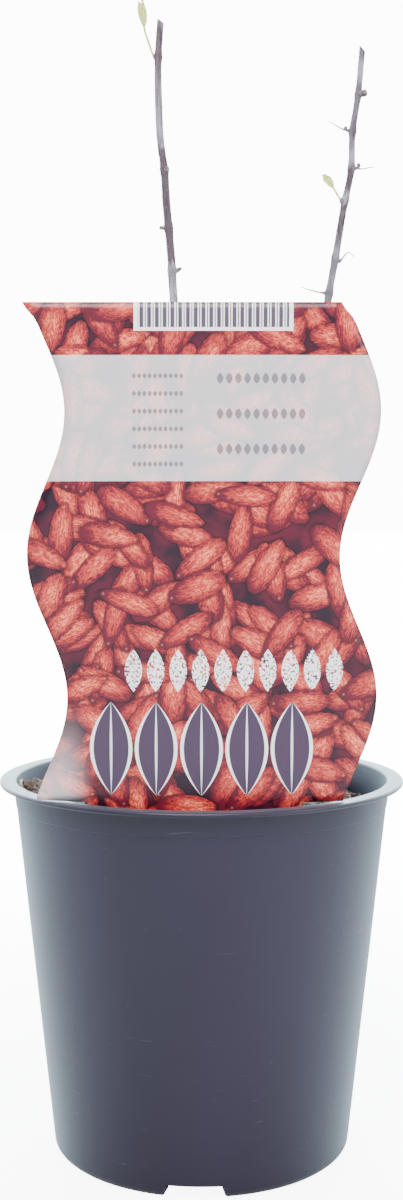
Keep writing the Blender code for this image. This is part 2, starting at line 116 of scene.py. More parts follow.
def calc(tree, operation, first, second=0.0, third=0.0):
    """One sum on values."""
    return add_node(tree, "Math", {0: first, 1: second, 2: third}, operation=operation)


def ramp(tree, value, low, high, at_low=0.0, at_high=1.0):
    """A smooth step from one value below low to another above high."""
    inputs = {"Value": value, "From Min": low, "From Max": high, "To Min": at_low, "To Max": at_high}
    return add_node(tree, "MapRange", inputs, interpolation_type="SMOOTHSTEP")


def mix_colours(tree, share, first, second):
    """A colour between two others, by its share of the second."""
    return add_node(tree, "Mix", {0: share, 6: first, 7: second}, 2, data_type="RGBA")


def object_place(tree):
    """Where a point is, in the object's own metres."""
    return add_node(tree, "TexCoord", out="Object")


def feed(finish, **sockets):
    """Links outputs to the sockets of a material's principled shader."""
    shader = finish.node_tree.nodes["Principled BSDF"]
    for socket, output in sockets.items():
        finish.node_tree.links.new(output, shader.inputs[socket.replace("_", " ")])


def flat_floor(name, half, height, finish):
    """A square of four corners at one height."""
    mesh = bpy.data.meshes.new(name)
    corners = [(half * x, half * y, height) for x, y in ((-1, -1), (1, -1), (1, 1), (-1, 1))]
    mesh.from_pydata(corners, [], [(0, 1, 2, 3)])
    mesh.materials.append(finish)
    return new_object(name, mesh)


def floor_finish():
    """White paper that the camera sees as bright as the air, but its glow is dimmer near the pot: painted
    soft shade round the pot, over its real shadow.
    """
    made = plain_finish("floor_white", FLOOR_COLOUR, FLOOR_ROUGHNESS, Emission_Color=AIR_SEEN_COLOUR)
    tree = made.node_tree
    away = add_node(tree, "VectorMath", {0: object_place(tree)}, operation="LENGTH", out="Value")
    # Dimmer glow near the pot paints a soft shade round its foot
    glow = ramp(tree, away, FLOOR_NEAR, FLOOR_FAR, FLOOR_SEEN_NEAR, AIR_SEEN_STRENGTH)
    seen = add_node(tree, "LightPath", out="Is Camera Ray")
    feed(made, Emission_Strength=calc(tree, "MULTIPLY", glow, seen))
    return made


floor = flat_floor("studio_floor", FLOOR_SIZE / 2, 0.0, floor_finish())

world = bpy.data.worlds.new("white_air")
world.use_nodes = True
air_tree = world.node_tree
air = air_tree.nodes["Background"]
heading = add_node(air_tree, "TexCoord", out="Generated")
back = add_node(air_tree, "SeparateXYZ", {0: heading}, "Y")
lit = ramp(air_tree, back, *AIR_TURN, AIR_FRONT_STRENGTH, AIR_BACK_STRENGTH)
seen = add_node(air_tree, "LightPath", out="Is Camera Ray")
strength = add_node(air_tree, "MapRange", {"Value": seen, "To Min": lit, "To Max": AIR_SEEN_STRENGTH})
lit_colour = mix_colours(air_tree, ramp(air_tree, back, *AIR_TURN), AIR_FRONT_COLOUR, AIR_COLOUR)
air_tree.links.new(mix_colours(air_tree, seen, lit_colour, AIR_SEEN_COLOUR), air.inputs["Color"])
air_tree.links.new(strength, air.inputs["Strength"])
bpy.context.scene.world = world

SOFT_LIGHTS = {
    "key_light": ((-0.15, -0.90, 1.10), 0.80, 42.0),
    "fill_light": ((0.90, -0.60, 0.45), 0.50, 7.0),
    "back_light": ((0.10, 0.80, 0.80), 0.60, 6.0),
}
for light_name, (place, size, power) in SOFT_LIGHTS.items():
    lamp = bpy.data.lights.new(light_name, "AREA")
    lamp.size = size
    lamp.energy = power
    holder = new_object(light_name, lamp)
    holder.location = place
    aim = LIGHT_AIM - np.array(place)
    holder.rotation_euler = (
        math.atan2(math.hypot(aim[0], aim[1]), -aim[2]),
        0.0,
        math.atan2(aim[1], aim[0]) - math.pi / 2,
    )


# Nursery pot
# One thin moulding of dark slate-purple plastic. It is turned from one profile, and its foot ring
# is lifted away at three drainage notches. The floor has six drilled holes.

RIM_RADIUS = 0.0650
POT_HEIGHT = 0.1198
WALL_TOP_RADIUS = 0.0607
BASE_RADIUS = 0.0477
WALL = 0.0010
FLANGE = 0.0011
LIP_DROP = 0.0003
LIP_CURVE = 0.0006
MOUTH_CURVE = 0.0007
BAND_DEPTH = 0.0070
BAND_STEP = 0.0002
BASE_CURVE = 0.0030
FOOT_WIDTH = 0.0022
RECESS = 0.0046
POT_FLOOR = 0.0012
FLOOR_CURVE = 0.0020
NOTCH_WIDTH = 0.0175
NOTCH_HEIGHT = 0.0043
NOTCH_CURVE = 0.0020
NOTCH_CORNER_STEPS = (-0.00002, 0.00002, 0.0002, 0.0005, 0.0009, 0.0014, 0.0020)
NOTCH_CIRCLE = 0.0460
NOTCH_ANGLES = np.radians(-92.5 + 120.0 * np.arange(3))
DRAIN_RADIUS = 0.0040
DRAIN_CIRCLE = 0.0300
DRAINS = 6
POT_AROUND = 240
DRILL_AROUND = 32
WELD = 0.0000005
WALL_FOOT = 0.0080
WALL_ROWS = 24


def outer_radius(height):
    """The outside of the wall is a straight cone from the base to the flange."""
    return BASE_RADIUS + (WALL_TOP_RADIUS - BASE_RADIUS) * height / (POT_HEIGHT - FLANGE)


def inner_radius(height):
    """The inside of the wall is parallel to the outside."""
    return outer_radius(height) - WALL


def corner_arc(centre, radius, start, end, steps=6):
    """Rows of radius and height on a circle round a centre, with angles in degrees."""
    angles = np.radians(np.linspace(start, end, steps + 1))
    return np.stack([centre[0] + radius * np.cos(angles), centre[1] + radius * np.sin(angles)], axis=1)


def straight(start, end, steps):
    """Evenly spaced rows of radius and height between two points, without the first."""
    share = np.linspace(0.0, 1.0, steps + 1)[1:, None]
    return np.asarray(start) + (np.asarray(end) - np.asarray(start)) * share


def pot_rows():
    """The profile: up the inside from the middle of the floor, over the flange and down to the foot."""
    floor_top = RECESS + POT_FLOOR
    inner_corner = (inner_radius(floor_top + FLOOR_CURVE) - FLOOR_CURVE, floor_top + FLOOR_CURVE)
    mouth = (inner_radius(POT_HEIGHT) + MOUTH_CURVE, POT_HEIGHT - MOUTH_CURVE)
    lip = (RIM_RADIUS - LIP_CURVE, POT_HEIGHT - LIP_CURVE)
    under = POT_HEIGHT - FLANGE
    band = under - BAND_DEPTH
    band_foot = (outer_radius(band) - BAND_STEP, band - BAND_STEP)
    base = (outer_radius(BASE_CURVE) - BASE_CURVE, BASE_CURVE)
    foot_inside = base[0] - FOOT_WIDTH
    return np.vstack([
        [(0.0, floor_top)],
        corner_arc(inner_corner, FLOOR_CURVE, -90, 0, 3),
        corner_arc(mouth, MOUTH_CURVE, 180, 90),
        corner_arc(lip, LIP_CURVE, 90, 0),
        [(RIM_RADIUS, under), (RIM_RADIUS - LIP_DROP, under - LIP_DROP)],
        [(RIM_RADIUS - 2 * LIP_DROP, under - LIP_DROP), (RIM_RADIUS - 3 * LIP_DROP, under)],
        [(outer_radius(under) + LIP_CURVE, under), (outer_radius(under), under - LIP_CURVE)],
        [(outer_radius(band), band), band_foot],
        straight(band_foot, (outer_radius(WALL_FOOT), WALL_FOOT), WALL_ROWS),
        [(outer_radius(NOTCH_HEIGHT), NOTCH_HEIGHT)],
        corner_arc(base, BASE_CURVE, 0, -90),
        [(foot_inside, 0.0), (foot_inside - LIP_DROP, RECESS), (0.0, RECESS)],
    ])


def notch_clearance(angles):
    """How far the foot is lifted at each angle: a flat top, then a round corner down to nothing."""
    lift = np.zeros_like(angles)
    for middle in NOTCH_ANGLES:
        away = np.abs((angles - middle + math.pi) % (2 * math.pi) - math.pi) * NOTCH_CIRCLE
        beyond = away - NOTCH_WIDTH / 2
        inside = np.clip(NOTCH_CURVE - beyond, 0.0, NOTCH_CURVE)
        corner = NOTCH_CURVE - np.sqrt(NOTCH_CURVE**2 - inside**2)
        lift = np.maximum(lift, np.where(beyond < 0, NOTCH_HEIGHT, corner))
    return lift


def grid_piece(name, points, finish, wrap=True, fields=None, sharp=35):
    """One mesh from grids of points.

    The last three axes of the array are rows, columns and coordinates, and any axis before them
    counts separate grids. Each square of four neighbours is a face, rings are closed where wrap is
    set, and points that coincide are welded.
    """
    grids = points.reshape(-1, *points.shape[-3:])
    count, rows, columns = grids.shape[:3]
    index = np.arange(count * rows * columns).reshape(count, rows, columns)
    if wrap:
        index = np.concatenate([index, index[:, :, :1]], axis=2)
    corners = (index[:, :-1, :-1], index[:, :-1, 1:], index[:, 1:, 1:], index[:, 1:, :-1])
    faces = np.stack(corners, axis=-1).reshape(-1, 4)
    mesh = bpy.data.meshes.new(name)
    mesh.from_pydata(grids.reshape(-1, 3), [], faces)
    for field, values in (fields or {}).items():
        layer = mesh.attributes.new(field, "FLOAT", "POINT")
        layer.data.foreach_set("value", np.ascontiguousarray(values, dtype=np.float32).ravel())
    body = bmesh.new()
    body.from_mesh(mesh)
    bmesh.ops.remove_doubles(body, verts=body.verts, dist=WELD)
    bmesh.ops.recalc_face_normals(body, faces=body.faces)
    body.to_mesh(mesh)
    body.free()
    mesh.materials.append(finish)
    mesh.shade_smooth()
    mesh.set_sharp_from_angle(angle=math.radians(sharp))
    return new_object(name, mesh)


def apply_modifiers(piece):
    """Replaces a piece's mesh by the one that its modifiers make."""
    graph = bpy.context.evaluated_depsgraph_get()
    mesh = bpy.data.meshes.new_from_object(piece.evaluated_get(graph), depsgraph=graph)
    piece.modifiers.clear()
    piece.data = mesh


def whole_turn(count):
    """Evenly spaced angles round a circle."""
    return np.linspace(0.0, 2 * math.pi, count, endpoint=False)


def ring_points(radii, heights, angles):
    """Points round +Z for rows of radius and height, given as arrays of rows by angles."""
    return np.stack([radii * np.cos(angles), radii * np.sin(angles), heights], axis=-1)


def drill(piece, name, places, radius, depth):
    """Takes upright round holes out of a piece, as deep as asked both ways."""
    turn = whole_turn(DRILL_AROUND)
    circle = np.stack([np.cos(turn), np.sin(turn), 0 * turn], axis=-1)
    scales = np.array([(0.0, -depth), (radius, -depth), (radius, depth), (0.0, depth)])
    plug = circle[None] * scales[:, None, :1] + np.array([0.0, 0.0, 1.0]) * scales[:, None, 1:]
    plugs = plug[None] + np.asarray(places)[:, None, None, :]
    cutter = grid_piece(name, plugs, None)
    cut = piece.modifiers.new(name, "BOOLEAN")
    cut.operation = "DIFFERENCE"
    cut.solver = "EXACT"
    cut.object = cutter
    apply_modifiers(piece)
    bpy.data.objects.remove(cutter)


def noise(tree, place, scale, detail=3.0, stretch=(1.0, 1.0, 1.0), distortion=0.0):
    """A cloudy value round one half, finer along the axes with a larger stretch."""
    stretched = add_node(tree, "VectorMath", {0: place, 1: stretch}, operation="MULTIPLY")
    inputs = {"Vector": stretched, "Scale": scale, "Detail": detail, "Distortion": distortion}
    return add_node(tree, "TexNoise", inputs, "Fac")


def relief_normal(tree, height, distance):
    """A normal bent by a height in metres."""
    return add_node(tree, "Bump", {"Height": height, "Distance": distance, "Strength": 1.0}, "Normal")


POT_DARK = (0.0075, 0.0036, 0.0160, 1.0)
POT_WORN = (0.0110, 0.0062, 0.0220, 1.0)
POT_DUST = (0.45, 0.47, 0.50, 1.0)
SHEEN_TINT = (0.70, 0.95, 1.0, 1.0)
POT_SHINE = {"IOR": 1.45, "Sheen_Weight": 0.18, "Sheen_Roughness": 0.40, "Sheen_Tint": SHEEN_TINT}
POT_ROUGHNESS = (0.34, 0.16)
FLOW_NOISE = (18.0, 2.0, (1.0, 1.0, 0.25))
FLOW_EDGE = (0.35, 0.70)
SCRATCH_NOISE = (90.0, 2.0, (1.0, 1.0, 9.0), 0.6)
SCRATCH_EDGE = (0.70, 0.76)
SCRATCH_TONE = 0.05
SCRATCH_DEPTH = 0.5
DUST_NOISE = (260.0, 3.0)
DUST_EDGE = (0.70, 0.88, 0.0, 0.06)
GRAIN_NOISE = (900.0, 2.0)
GRAIN_HEIGHT = 0.00003


def pot_finish():
    """Slate-purple plastic with a soft sheen: moulding flow marks, hair scratches and a little dust."""
    smooth, rougher = POT_ROUGHNESS
    made = plain_finish("pot_plastic", POT_DARK, smooth, **POT_SHINE)
    tree = made.node_tree
    place = object_place(tree)
    flow = noise(tree, place, *FLOW_NOISE)
    scratches = ramp(tree, noise(tree, place, *SCRATCH_NOISE), *SCRATCH_EDGE)
    dust = ramp(tree, noise(tree, place, *DUST_NOISE), *DUST_EDGE)
    worn = mix_colours(tree, ramp(tree, flow, *FLOW_EDGE), POT_DARK, POT_WORN)
    scratched = mix_colours(tree, calc(tree, "MULTIPLY", scratches, SCRATCH_TONE), worn, POT_DUST)
    dusty = mix_colours(tree, dust, scratched, POT_DUST)
    grain = calc(tree, "MULTIPLY_ADD", scratches, SCRATCH_DEPTH, noise(tree, place, *GRAIN_NOISE))
    feed(
        made,
        Base_Color=dusty,
        Roughness=calc(tree, "MULTIPLY_ADD", flow, rougher, smooth),
        Normal=relief_normal(tree, grain, GRAIN_HEIGHT),
    )
    return made


even_angles = np.linspace(-math.pi, math.pi, POT_AROUND, endpoint=False)
corner_away = NOTCH_WIDTH / 2 + np.array(NOTCH_CORNER_STEPS)
both_sides = np.concatenate([-corner_away, corner_away]) / NOTCH_CIRCLE
corner_angles = (NOTCH_ANGLES[:, None] + both_sides).ravel()
corner_angles = (corner_angles + math.pi) % (2 * math.pi) - math.pi
pot_angles = np.unique(np.concatenate([even_angles, corner_angles]))
pot_profile = pot_rows()
pot_heights = np.maximum(pot_profile[:, 1:], notch_clearance(pot_angles))
pot_radii = np.broadcast_to(pot_profile[:, :1], pot_heights.shape)
pot = grid_piece("pot_moulding", ring_points(pot_radii, pot_heights, pot_angles), pot_finish())
drain_turn = 2 * math.pi * np.arange(DRAINS) / DRAINS
drain_places = np.stack([np.cos(drain_turn), np.sin(drain_turn), 0 * drain_turn], axis=-1) * DRAIN_CIRCLE
drill(pot, "drain_drill", drain_places + (0.0, 0.0, RECESS), DRAIN_RADIUS, 2 * POT_FLOOR)
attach(pot, "root")
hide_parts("pot")


# Peat
# Loose dark peat, heaped at the back right and fallen away from the wall on the right. The body is
# turned from a profile and roughened, and crumbs, fine roots and a few thick ones lie on it.

GAP = 0.0003
SOIL_LEVEL = 0.1135
SOIL_TILT = -0.030
SOIL_WAVE = 0.0005
SOIL_WAVE_RATES = (310.0, 270.0, 190.0, 130.0)
SOIL_DROP = 0.0045
DROP_REACH = (0.042, 0.055)
SOIL_HEAP = 0.0030
HEAP_PLACE = (0.042, 0.024)
HEAP_WIDTH = 0.012
STEM_CLEARING = (0.009, 0.017)
CLODS = ((3, 0.0060, 0.0006), (4, 0.0014, 0.0003))
STEM_FOOT = np.array((0.0080, 0.0020, SOIL_LEVEL))
SOIL_RINGS = 90
SOIL_AROUND = 300
PEAT_SIDE_RADIUS = 0.043
LOOSE_REACH = 0.0585
CRUMBS = 1500
CRUMB_SPREAD = (0.02, 1.0)
CRUMB_AROUND = 7
CRUMB_ROWS = 6
CRUMB_LIFT = 0.3
CRUMB_SIZE = (0.00035, 0.0011)
CRUMB_LUMPS = 0.30
CRUMB_STRETCH = (0.6, 1.3)
FIBRES = 130
FIBRE_REACH = 0.056
FIBRE_LENGTH = (0.004, 0.014)
FIBRE_THICKNESS = (0.00006, 0.00022)
FIBRE_CURL = 1.6
FIBRE_STEPS = 8
FIBRE_SIDES = 5
FIBRE_REST = 0.0002
FIBRE_LIFT = 0.12
FIBRE_LIFT_RANGE = (0.4, 0.6)
FIBRE_SPREAD = (0.1, 1.0)
FIBRE_BENDS = 2.5
FIBRE_TAPER = 0.6
FIBRE_SEED = 100
PEAT_GRAIN = (0.95, (700.0, 4.0), (0.40, 0.66), 0.0004)
PEAT_DARK = (0.010, 0.006, 0.005, 1.0)
PEAT_BROWN = (0.040, 0.022, 0.018, 1.0)
FIBRE_PALE = (0.42, 0.27, 0.15, 1.0)
FIBRE_BROWN = (0.090, 0.050, 0.034, 1.0)

# Each thick root's start, heading, length, thickness, curl and seed
TWISTED_ROOTS = (
    ((-0.0565, -0.0060), 0.9, 0.0150, 0.00060, 2.4, 901),
    ((-0.0540, -0.0120), 0.2, 0.0120, 0.00045, 2.0, 902),
    ((0.0440, 0.0100), 1.2, 0.0160, 0.00050, 1.8, 903),
    ((0.0480, 0.0020), 2.0, 0.0120, 0.00040, 1.8, 904),
)


def smooth_step(low, high, value):
    """0 below low, 1 above high, and eased between them."""
    share = np.clip((value - low) / (high - low), 0.0, 1.0)
    return share * share * (3 - 2 * share)


CLOUD_CELLS = 64
OCTAVE_SHIFT = (7.3, 3.1)


def cloud(seed, across, along, octaves=1):
    """Smooth random values between -1 and 1.

    Each whole step across and along has a random number, and values between are eased from the
    four round them. Each further octave is twice as fine and half as strong.
    """
    table = np.random.default_rng(seed).uniform(-1.0, 1.0, (CLOUD_CELLS, CLOUD_CELLS))
    over, on = OCTAVE_SHIFT
    total = np.zeros(np.broadcast(across, along).shape)
    for octave in range(octaves):
        u, v = np.broadcast_arrays(across * 2**octave + over * octave, along * 2**octave + on * octave)
        i, j = np.floor(u).astype(int), np.floor(v).astype(int)
        s, t = smooth_step(0.0, 1.0, u - i), smooth_step(0.0, 1.0, v - j)
        left, right, low, high = (step % CLOUD_CELLS for step in (i, i + 1, j, j + 1))
        near = table[left, low] * (1 - s) + table[right, low] * s
        far = table[left, high] * (1 - s) + table[right, high] * s
        total = total + (near * (1 - t) + far * t) / 2**octave
    return total


def soil_relief(x, y):
    """Height over the soil's level: flat round the stem, low and heaped on the right."""
    loose = smooth_step(*STEM_CLEARING, np.hypot(x - STEM_FOOT[0], y - STEM_FOOT[1]))
    first, second, third, fourth = SOIL_WAVE_RATES
    waves = SOIL_WAVE * (np.sin(first * x + 1) * np.cos(second * y) + np.sin(third * y - fourth * x))
    drop = SOIL_DROP * smooth_step(*DROP_REACH, x)
    heap_away = (x - HEAP_PLACE[0]) ** 2 + (y - HEAP_PLACE[1]) ** 2
    return loose * (SOIL_TILT * x + waves - drop + SOIL_HEAP * np.exp(-heap_away / HEAP_WIDTH**2))


def peat_top(x, y):
    """The relief with clods and grains on it."""
    clods = sum(height * cloud(seed, x / size, y / size, 2) for seed, size, height in CLODS)
    return SOIL_LEVEL + soil_relief(x, y) + clods


def grained_finish(name, tones, roughness, grain, edge, height, **sockets):
    """A finish of two tones that change with a fine grain, which roughens the surface too."""
    made = plain_finish(name, tones[0], roughness, **sockets)
    tree = made.node_tree
    grains = noise(tree, object_place(tree), *grain)
    feed(made, Base_Color=mix_colours(tree, ramp(tree, grains, *edge), *tones))
    if height:
        feed(made, Normal=relief_normal(tree, grains, height))
    return made


turn = whole_turn(SOIL_AROUND)
floor_height = RECESS + POT_FLOOR + GAP
top_radii = (inner_radius(SOIL_LEVEL) - GAP) * np.linspace(0.0, 1.0, SOIL_RINGS + 1)[:, None] + 0 * turn
top_heights = peat_top(top_radii * np.cos(turn), top_radii * np.sin(turn))
top_radii = np.minimum(top_radii, inner_radius(top_heights) - GAP)
side_foot = floor_height + FLOOR_CURVE
side_radii = np.array([inner_radius(side_foot) - 2 * GAP, PEAT_SIDE_RADIUS, 0.0])[:, None] + 0 * turn
side_heights = np.array([side_foot, floor_height, floor_height])[:, None] + 0 * turn
peat_radii = np.vstack([top_radii, side_radii])
peat_heights = np.vstack([top_heights, side_heights])
peat_material = grained_finish("peat", (PEAT_DARK, PEAT_BROWN), *PEAT_GRAIN)
peat = grid_piece("peat_body", ring_points(peat_radii, peat_heights, turn), peat_material, sharp=60)
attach(peat, "root")
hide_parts("soil")

dice = np.random.default_rng(11)
crumb_radius = LOOSE_REACH * np.sqrt(dice.uniform(*CRUMB_SPREAD, CRUMBS))
crumb_turn = dice.uniform(0.0, 2 * math.pi, CRUMBS)
crumb_x, crumb_y = crumb_radius * np.cos(crumb_turn), crumb_radius * np.sin(crumb_turn)
crumb_size = CRUMB_SIZE[0] + CRUMB_SIZE[1] * dice.uniform(0.0, 1.0, CRUMBS) ** 3
around = whole_turn(CRUMB_AROUND)
down = np.linspace(0.0, math.pi, CRUMB_ROWS)[:, None]
ball = ring_points(np.sin(down), np.cos(down) + 0 * around, around)
lumps = 1 + CRUMB_LUMPS * dice.uniform(-1.0, 1.0, (CRUMBS, *ball.shape[:2], 1))
lumps[:, [0, -1]] = 1.0
stretch = dice.uniform(*CRUMB_STRETCH, (CRUMBS, 1, 1, 3))
crumb_place = np.stack([crumb_x, crumb_y, peat_top(crumb_x, crumb_y) + CRUMB_LIFT * crumb_size], axis=-1)
crumb_points = ball * lumps * stretch * crumb_size[:, None, None, None] + crumb_place[:, None, None, :]
crumb_finish = grained_finish("peat_crumb", (PEAT_BROWN, FIBRE_BROWN), *PEAT_GRAIN)
crumbs = grid_piece("peat_crumbs", crumb_points, crumb_finish, sharp=70)
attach(crumbs, "root")


def even_line(points, count):
    """As many points as asked, evenly spaced by length along a line."""
    along = np.concatenate([[0.0], np.cumsum(np.linalg.norm(np.diff(points, axis=0), axis=1))])
    wanted = np.linspace(0.0, along[-1], count)
    return np.stack([np.interp(wanted, along, points[:, axis]) for axis in range(3)], axis=-1)


def flowing_line(knots, steps):
    """A Catmull-Rom curve through the knots, in so many steps from each to the next."""
    knots = np.asarray(knots, dtype=float)
    ends = np.vstack([2 * knots[0] - knots[1], knots, 2 * knots[-1] - knots[-2]])
    t = np.arange(steps)[:, None] / steps
    spans = []
    for before, start, end, after in zip(ends, ends[1:], ends[2:], ends[3:]):
        turning = (2 * before - 5 * start + 4 * end - after) * t**2
        bending = (3 * start - before - 3 * end + after) * t**3
        spans.append((2 * start + (end - before) * t + turning + bending) / 2)
    return np.vstack([*spans, knots[-1:]])


def side_axes(line):
    """Two unit axes across a line at each of its points, which turn with it and never flip."""
    tangent = np.gradient(line, axis=0)
    tangent /= np.linalg.norm(tangent, axis=1, keepdims=True)
    reference = np.eye(3)[np.argmin(np.abs(line[-1] - line[0]))]
    first = np.cross(tangent, reference)
    first /= np.linalg.norm(first, axis=1, keepdims=True)
    return first, np.cross(tangent, first), tangent


def tube_rings(line, radii, angles):
    """Rings of points round a line; the radii are one for each ring, or one for each point."""
    first, second, _ = side_axes(line)
    radii = np.asarray(radii).reshape(len(line), -1, 1)
    across = np.cos(angles)[:, None] * first[:, None] + np.sin(angles)[:, None] * second[:, None]
    return line[:, None] + radii * across


def with_tips(rings):
    """The same rings with both ends drawn to a point, which closes the tube."""
    return np.concatenate([
        np.broadcast_to(rings[:1].mean(axis=1, keepdims=True), rings[:1].shape),
        rings,
        np.broadcast_to(rings[-1:].mean(axis=1, keepdims=True), rings[-1:].shape),
    ])


def fibre_rings(start, heading, length, thickness, curl, seed):
    """A fine root that wanders over the peat, and lifts off it in the middle."""
    step = np.linspace(0.0, 1.0, FIBRE_STEPS + 1)
    bearing = heading + curl * cloud(seed, FIBRE_BENDS * step, 0.5, 2)
    walk = np.stack([np.cos(bearing), np.sin(bearing)])[:, :-1].cumsum(axis=1)
    x, y = np.array(start)[:, None] + length / FIBRE_STEPS * np.insert(walk, 0, 0.0, axis=1)
    reach = np.minimum(1.0, LOOSE_REACH / np.maximum(np.hypot(x, y), 0.001))
    x, y = x * reach, y * reach
    least, more = FIBRE_LIFT_RANGE
    own_lift = least + more * abs(math.sin(seed))
    lift = FIBRE_REST + FIBRE_LIFT * length * np.sin(math.pi * step) * own_lift
    line = np.stack([x, y, peat_top(x, y) + lift], axis=-1)
    taper = thickness * (1 - FIBRE_TAPER * step)
    return with_tips(tube_rings(line, taper, whole_turn(FIBRE_SIDES)))


fibre_rows = []
for number in range(FIBRES):
    radius, angle = FIBRE_REACH * math.sqrt(dice.uniform(*FIBRE_SPREAD)), dice.uniform(0.0, 2 * math.pi)
    start = (radius * math.cos(angle), radius * math.sin(angle))
    heading, length = dice.uniform(0.0, 2 * math.pi), dice.uniform(*FIBRE_LENGTH)
    thickness = dice.uniform(*FIBRE_THICKNESS)
    fibre_rows.append(fibre_rings(start, heading, length, thickness, FIBRE_CURL, FIBRE_SEED + number))
fibre_rows += [fibre_rings(*root) for root in TWISTED_ROOTS]
fibre_finish = grained_finish("root_fibre", (FIBRE_BROWN, FIBRE_PALE), *PEAT_GRAIN)
fibres = grid_piece("root_fibres", np.stack(fibre_rows), fibre_finish)
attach(fibres, "root")


# Stem and canes
# Woody young growth: one short swollen crown on the peat, and two canes pruned with slanting cuts.
# Each is a tube whose radius carries the bark's ridges, node swellings and lenticels.

FORK_HEIGHT = 0.1330
STEM_FORK = np.array((0.0050, 0.0000, FORK_HEIGHT))
STEM_RADIUS = 0.0039
ROOT_FLARE = 0.0024
CROWN_SWELL = 0.0010
NODE_SWELL = 0.00025
NODE_REACH = 0.0016
HIDDEN_NODE_STEP = 0.0230
HIDDEN_NODES = 5
RING_SPACING = 0.0004
BARK_AROUND = 32
LINE_STEPS = 24
TAPER_POWER = 1.6
CUT_ROOM = 2.2

BARK_GREY = (0.105, 0.092, 0.108, 1.0)
BARK_PALE = (0.240, 0.220, 0.240, 1.0)
BARK_PURPLE = (0.060, 0.040, 0.048, 1.0)
BARK_SHADOW = (0.030, 0.018, 0.024, 1.0)
CUT_WOOD = (0.62, 0.46, 0.38, 1.0)
CUT_PITH = (0.20, 0.11, 0.09, 1.0)
BARK_ROUGHNESS = 0.78
BARK_GLOSS = 0.35
STREAK_NOISE = (900.0, 3.0, (1.0, 1.0, 0.10))
STREAK_EDGE = (0.53, 0.66, 0.0, 0.80)
SPECK_NOISE = (1500.0, 2.0)
SPECK_EDGE = (0.66, 0.74, 0.0, 0.5)
SPECK_DEPTH = 0.4
BLOTCH_NOISE = (160.0, 3.0, (1.0, 1.0, 0.5))
BLOTCH_EDGE = (0.42, 0.64)
PATCH_STREAKS = 0.90
PATCH_LEVEL = 0.50
PATCH_EDGE = (0.20, 0.75)
CUT_EDGE = (0.10, 0.35)
PITH_EDGE = (0.80, 0.97)
BARK_GRAIN = 0.00010


def bark_finish(name, ridge_scale=1.0):
    """Dry bark: grey-lilac skin, purple-brown patches from the tint field, streaks, flakes and cuts."""
    made = plain_finish(name, BARK_GREY, BARK_ROUGHNESS, Specular_IOR_Level=BARK_GLOSS)
    tree = made.node_tree
    place = object_place(tree)
    ridges = add_node(tree, "VectorMath", {0: place, "Scale": ridge_scale}, operation="SCALE")
    tint = add_node(tree, "Attribute", out="Fac", attribute_name="tint")
    cut = add_node(tree, "Attribute", out="Fac", attribute_name="cut")
    streak = noise(tree, ridges, *STREAK_NOISE)
    speck = noise(tree, ridges, *SPECK_NOISE)
    blotch = ramp(tree, noise(tree, place, *BLOTCH_NOISE), *BLOTCH_EDGE)
    skin = mix_colours(tree, blotch, BARK_GREY, BARK_PALE)
    level = calc(tree, "SUBTRACT", tint, PATCH_LEVEL)
    patch = ramp(tree, calc(tree, "MULTIPLY_ADD", streak, PATCH_STREAKS, level), *PATCH_EDGE)
    patched = mix_colours(tree, patch, skin, BARK_PURPLE)
    streaked = mix_colours(tree, ramp(tree, streak, *STREAK_EDGE), patched, BARK_SHADOW)
    flaked = mix_colours(tree, ramp(tree, speck, *SPECK_EDGE), streaked, BARK_PALE)
    pith = mix_colours(tree, ramp(tree, cut, *PITH_EDGE), CUT_WOOD, CUT_PITH)
    colour = mix_colours(tree, ramp(tree, cut, *CUT_EDGE), flaked, pith)
    grain = calc(tree, "ADD", streak, calc(tree, "MULTIPLY", speck, SPECK_DEPTH))
    feed(made, Base_Color=colour, Normal=relief_normal(tree, grain, BARK_GRAIN))
    return made


class Cane:
    """A cane's middle line, its taper, and the heights of its nodes, as in the CAD."""

    def __init__(self, knots, base_radius, tip_radius, nodes):
        self.line = flowing_line(knots, LINE_STEPS)
        self.base_radius = base_radius
        self.tip_radius = tip_radius
        hidden = [nodes[-1] - HIDDEN_NODE_STEP * (step + 1) for step in range(HIDDEN_NODES)]
        self.nodes = np.array([*nodes, *hidden])

    def middle(self, height):
        """The point of the middle line at a height."""
        return np.array([np.interp(height, self.line[:, 2], self.line[:, axis]) for axis in range(3)])

    def radius(self, heights):
        """A taper that is quick near the fork and slow above, with a swelling at each node."""
        share = (heights - self.line[0, 2]) / (self.line[-1, 2] - self.line[0, 2])
        taper = self.tip_radius + (self.base_radius - self.tip_radius) * (1 - share) ** TAPER_POWER
        near = (np.asarray(heights)[..., None] - self.nodes) / NODE_REACH
        return taper + NODE_SWELL * np.exp(-(near**2)).sum(axis=-1)

    def beside(self, height, azimuth, out, up):
        """A point so far out from the middle line in one direction, and so far above a node."""
        turn = math.radians(azimuth)
        return self.middle(height) + np.array((out * math.cos(turn), out * math.sin(turn), up))


